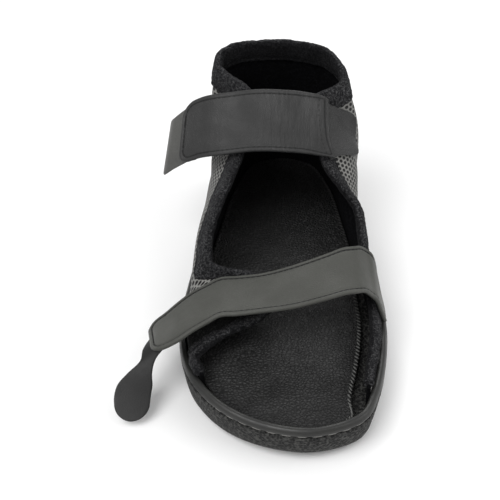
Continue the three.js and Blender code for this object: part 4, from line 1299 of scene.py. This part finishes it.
class Strap:
    """A strap's middle surface, read by millimetres along it and millimetres across it."""

    def __init__(self, rows, width, lanes=33, steps=600):
        self.surface = rounded_line(strap_frame(rows, width, lanes), np.linspace(0, 1, steps))
        self.width = width
        middle = self.surface[:, lanes // 2]
        self.run = np.concatenate([[0], np.cumsum(np.linalg.norm(np.diff(middle, axis=0), axis=-1))])
        self.length = self.run[-1]
        ahead = np.gradient(self.surface, axis=0)
        across = np.gradient(self.surface, axis=1)
        self.normals = unit(np.cross(ahead, across))

    def read(self, field, s, x):
        i = np.interp(s, self.run, np.arange(len(self.run)))
        j = np.clip((x / self.width + 0.5) * (field.shape[1] - 1), 0, field.shape[1] - 1.001)
        i = np.clip(i, 0, field.shape[0] - 1.001)
        i0, j0 = i.astype(int), j.astype(int)
        u, v = (i - i0)[..., None], (j - j0)[..., None]
        low = field[i0, j0] * (1 - v) + field[i0, j0 + 1] * v
        high = field[i0 + 1, j0] * (1 - v) + field[i0 + 1, j0 + 1] * v
        return low * (1 - u) + high * u

    def at(self, s, x, height=0.0):
        s, x = np.broadcast_arrays(np.asarray(s, float), np.asarray(x, float))
        return self.read(self.surface, s, x) + self.normal(s, x) * np.asarray(height)[..., None]

    def normal(self, s, x):
        return unit(self.read(self.normals, s, x))


def full_width(rows):
    """The same rows at the strap's full width, for a body that rounds its own end."""
    return [row if isinstance(row, dict) else row[:5] for row in rows]


ankle = Strap(full_width(ANKLE_STRAP), 40)
front = Strap(full_width(FRONT_STRAP), 37)
print("ankle strap", round(ankle.length), "mm, front strap", round(front.length), "mm")

# %% [markdown]
# The strap is sewn to a tab of grained leatherette with two rows of stitches. The tab goes on over the binding at
# the throat and ends as a rounded tongue on the mesh behind it.

# %% The ankle strap's tab
JOIN_START, JOIN_ROWS, STRAP_PITCH = 0.05, (2.4, 5.6), 3.2
TAB = {"edge_top": (0.3, 0.985), "edge_low": (0.378, 0.985), "end_top": (0.258, 0.74), "end_low": (0.31, 0.43)}
TAB_SMOOTHINGS = 40
down = np.linspace(0, 1, 49)
reach = 1 - 0.3 * (1 - np.sqrt(np.maximum(0, 1 - (2 * down - 1) ** 4)))
out = np.linspace(0, 1, 40)[:, None] * reach[None]
corner = {key: np.array(value) for key, value in TAB.items()}
start = corner["edge_top"] + (corner["edge_low"] - corner["edge_top"]) * down[:, None]
end = corner["end_top"] + (corner["end_low"] - corner["end_top"]) * down[:, None]
spots = start[None] + (end - start)[None] * out[..., None]
laid = on_wall(spots[..., 0], spots[..., 1], np.full(out.shape, ON_BINDING + 0.7))
for _ in range(TAB_SMOOTHINGS):
    laid[1:-1, 1:-1] = (laid[:-2, 1:-1] + laid[2:, 1:-1] + laid[1:-1, :-2] + laid[1:-1, 2:]) / 4
tab = panel("strap_tab", laid, 1.3, edge=0.4)
face_out(tab)
finished(tab, "tab", [tab_skin], "ankle_strap_tab")

# %% [markdown]
# Each strap's body is a closed section carried along its surface, narrowing round the free end.

# %% The straps' bodies
SEAM, CORNER, CROWN = 3.0, 9, 0.3


def strap_body(name, strap, start=0.0):
    """A band with a rounded end, soft cut edges and a stitched groove: a section carried along the strap."""
    stop, half = strap.length, strap.width / 2
    straight = np.linspace(start, stop - CORNER, max(8, int((stop - CORNER - start) / 1.6)))
    turn = np.linspace(0, np.pi / 2, 14)[1:]
    if start:
        straight = np.concatenate([start + np.array([0, 0.1, 0.3, 0.6, 1.0]), straight[1:]])
    s = np.concatenate([straight, stop - CORNER + CORNER * np.sin(turn)])
    reach = half - CORNER + CORNER * np.concatenate([np.ones(len(straight)), np.cos(turn)])
    lanes = np.concatenate([[0, 0.008, 0.03], np.linspace(0.06, 0.94, 31), [0.97, 0.992, 1]]) * 2 - 1
    x = np.maximum(reach, 0.3)[:, None] * lanes[None]
    along = np.broadcast_to(s[:, None], x.shape)
    side = np.maximum(reach, 0.3)[:, None] - np.abs(x)
    past_straight = np.maximum(0, along - (stop - CORNER))
    past_corner = np.maximum(0, np.abs(x) - (half - CORNER))
    rounded = CORNER - np.hypot(past_straight, past_corner)
    end = np.where(past_straight > 0, rounded, np.minimum(side, stop - along))
    away = np.minimum(side, np.maximum(end, 0))
    if start:
        away = np.minimum(away, along - start + 0.6)
    lip = STRAP / 2 * np.sqrt(1 - np.clip(1 - away / (STRAP * 0.55), 0, 1) ** 2)
    groove = 0.5 * np.exp(-(((away - SEAM) / 0.6) ** 2))
    swell = CROWN * np.exp(-(((away - SEAM * 0.5) / 1.1) ** 2))
    above = strap.at(along, x, lip - groove + swell)
    below = strap.at(along, x, -lip)
    uv = np.stack([along, away], axis=-1)
    piece = bent_grid(name, closed_section(above, below), closed_section(uv, uv))
    close_holes(piece)
    return soften(piece, 60)


ankle_strap = strap_body("ankle_strap_body", ankle, start=JOIN_START)
finished(ankle_strap, "ankle_strap", [ankle_skin], "ankle_strap")
front_strap = strap_body("front_strap_body", front)
finished(front_strap, "front_strap", [front_skin], "front_strap")

# %% [markdown]
# The stitches run along both edges and round the free end. Two more rows hold the ankle strap to its tab.

# %% The straps' stitches
def stitched(name, strap, s, x, sunk, size):
    """Sews a row of dark stitches on a strap."""
    points = strap.at(s, x, np.full(len(s), STRAP / 2 - sunk))
    return row_of(name, points, np.gradient(points, axis=0), strap.normal(s, x), np.array(size))


def strap_stitches(name, strap, start):
    """Stitches along both edges of a strap and round its free end."""
    half, bend = strap.width / 2 - SEAM, CORNER - SEAM
    last = strap.length - SEAM - bend
    turn = np.linspace(0, np.pi / 2, 9)[1:-1]
    corner_s = [*(last + bend * np.sin(turn)), strap.length - SEAM]
    corner_x = [*(half - bend + bend * np.cos(turn)), half - bend]
    path_s = np.array([start, last, *corner_s, *corner_s[::-1], last, start])
    path_x = np.array([half, half, *corner_x, *[-x for x in corner_x[::-1]], -half, -half])
    gone = np.concatenate([[0], np.cumsum(np.hypot(np.diff(path_s), np.diff(path_x)))])
    spots = np.linspace(0, gone[-1], int(gone[-1] / STRAP_PITCH))
    s, x = np.interp(spots, gone, path_s), np.interp(spots, gone, path_x)
    return stitched(name, strap, s, x, 0.22, (2.4, 0.7, 0.5))


finished(strap_stitches("ankle_strap_thread", ankle, JOIN_ROWS[1]), "ankle_strap", [dark_thread])
for name, at in zip(("ankle_join_thread", "ankle_join_second_thread"), JOIN_ROWS):
    row = stitched(name, ankle, np.full(14, at), np.linspace(-18.5, 18.5, 14), 0.2, (2.3, 0.75, 0.5))
    finished(row, "ankle_strap", [dark_thread])
finished(strap_stitches("front_strap_thread", front, 4), "front_strap", [dark_thread])

# %% [markdown]
# The flap under the front strap is made of darker brushed cloth. Its faces are those of the lateral wall in front
# of the place where the strap crosses the wall.

# %% The flap's cloth
CROSSING = -34  # how far out the strap's middle crosses the lateral wall
crossing = front.surface[np.abs(front.surface[:, 16, 0] - CROSSING).argmin(), 16, 1]
flap = ~upper_inside & (upper_middles[:, 1] < crossing) & (upper_middles[:, 0] < 0)
set_finishes(upper, np.where(flap, 2, upper_inside))
print("the flap is brushed cloth on", int(flap.sum()), "faces")

# %% [markdown]
# Under each strap a strip of loop pile is sewn, which grips the hooks on the flap below.

# %% The loop pile under the straps
LOOP_TOP, LOOP_PILE = -STRAP / 2 - GAP, 1.1


def loop_strip(name, strap, start, stop, width):
    s = np.linspace(start, stop, max(20, int((stop - start) / 1.5)))[:, None]
    x = np.linspace(-width / 2, width / 2, 25)[None]
    s, x = np.broadcast_arrays(s, x)
    points = strap.at(s, x, np.full(s.shape, LOOP_TOP - 0.6))
    return face_out(panel(name, points, LOOP_PILE, edge=0.35))


ankle_loop = loop_strip("ankle_loop_pile", ankle, ankle.length * 0.26, ankle.length * 0.7, 35)
finished(ankle_loop, "loop", [loop_pile], "ankle_strap_lining")
front_loop = loop_strip("front_loop_pile", front, front.length * 0.26, front.length * 0.75, 32)
finished(front_loop, "loop", [loop_pile], "front_strap_lining")

# %% [markdown]
# The tail is a thin tongue that comes out from under the strap's stitched end and widens to a pull tab.

# %% The pull tabs
def tail_body(name, rows, width, skin, nodes, corner=0.0):
    tail = Strap(rows, width)
    lanes = np.concatenate([[0, 0.02, 0.06], np.linspace(0.12, 0.88, 17), [0.94, 0.98, 1]]) - 0.5
    s = np.linspace(0, tail.length, 120)
    narrow = np.ones(len(s))
    if corner:
        turn = np.linspace(0, np.pi / 2, 24)
        s = np.concatenate([s[s < tail.length - corner], tail.length - corner * (1 - np.sin(turn))])
        past = np.clip((s - tail.length + corner) / corner, 0, 1)
        narrow = np.maximum(np.sqrt(1 - past**2), 0.04)
    x = narrow[:, None] * lanes[None] * width
    along = np.broadcast_to(s[:, None], (len(s), len(lanes)))
    flat = tail.at(along, x)
    wide = np.linalg.norm(flat[:, -1] - flat[:, 0], axis=-1)[:, None]
    away = np.minimum((0.5 - np.abs(lanes))[None] * wide, (tail.length - s)[:, None] + 0.05)
    lip = TAIL / 2 * np.sqrt(1 - np.clip(1 - away / 0.8, 0, 1) ** 2)
    top, low = tail.at(along, x, lip), tail.at(along, x, -lip)
    piece = bent_grid(name, closed_section(top, low))
    close_holes(piece)
    modify(piece, "SUBSURF", levels=1, render_levels=1)
    soften(piece, 60)
    return finished(piece, "tail", [skin], nodes)


# The ankle tab's finish is its strap's leatherette made lighter, as a painted highlight on the fold.
tail_body("ankle_pull_tab", ANKLE_TAIL, 38, tail_skin_lit, "ankle_strap_tail")
tail_body("front_pull_tab", FRONT_TAIL, 19, drop_skin, "front_strap_tail", corner=9.0)

# %% [markdown]
# ## Floor, light and camera
# The shoe stands on a plain pale floor under large soft lights, as in a catalogue. The camera looks down from
# the front at the same angle as the photograph, and is shifted a little so that the one shoe fills the frame.

# %% Floor, light and camera
bpy.ops.object.select_all(action="DESELECT")
bpy.ops.mesh.primitive_plane_add(size=6)
floor = bpy.context.object
floor.name = "floor"
paper = Finish("paper", 0.9, Specular_IOR_Level=0.1)
paper.shader.inputs["Base Color"].default_value = (0.93, 0.93, 0.93, 1)
floor.data.materials.append(paper.material)

world = bpy.data.worlds.new("studio")
bpy.context.scene.world = world
world.use_nodes = True
world.node_tree.nodes["Background"].inputs[0].default_value = (1, 1, 1, 1)
world.node_tree.nodes["Background"].inputs[1].default_value = 0.55


def soft_light(name, place, aim, size, power):
    light = bpy.data.lights.new(name, "AREA")
    light.size, light.energy = size, power
    lamp = bpy.data.objects.new(name, light)
    lamp.location = place
    lamp.rotation_euler = (Vector(aim) - Vector(place)).to_track_quat("-Z", "Y").to_euler()
    bpy.context.collection.objects.link(lamp)
    return lamp


bpy.context.scene.view_settings.view_transform = "Standard"
soft_light("key", (-0.55, -0.75, 1.15), (0, -0.09, 0.04), 0.9, 13)
soft_light("fill", (0.95, -0.35, 0.8), (0, -0.09, 0.05), 0.9, 5)
soft_light("back", (0.1, 0.95, 0.9), (0, -0.05, 0.06), 0.8, 5)

AIM, PHOTO_WIDTH, FOCAL = Vector((0, -0.0949, 0.040)), 500, 881  # metres, and two lengths in pixels
lens = bpy.data.cameras.new("camera")
lens.sensor_width = 36
lens.lens = FOCAL / PHOTO_WIDTH * lens.sensor_width
lens.shift_x = -0.066
lens.clip_start = 0.01
camera = bpy.data.objects.new("camera", lens)
camera.location = (0, -0.5362, 0.3848)
camera.rotation_euler = (AIM - camera.location).to_track_quat("-Z", "Y").to_euler()
bpy.context.collection.objects.link(camera)
bpy.context.scene.camera = camera
print("the camera is", round((AIM - camera.location).length, 3), "m from where it looks")
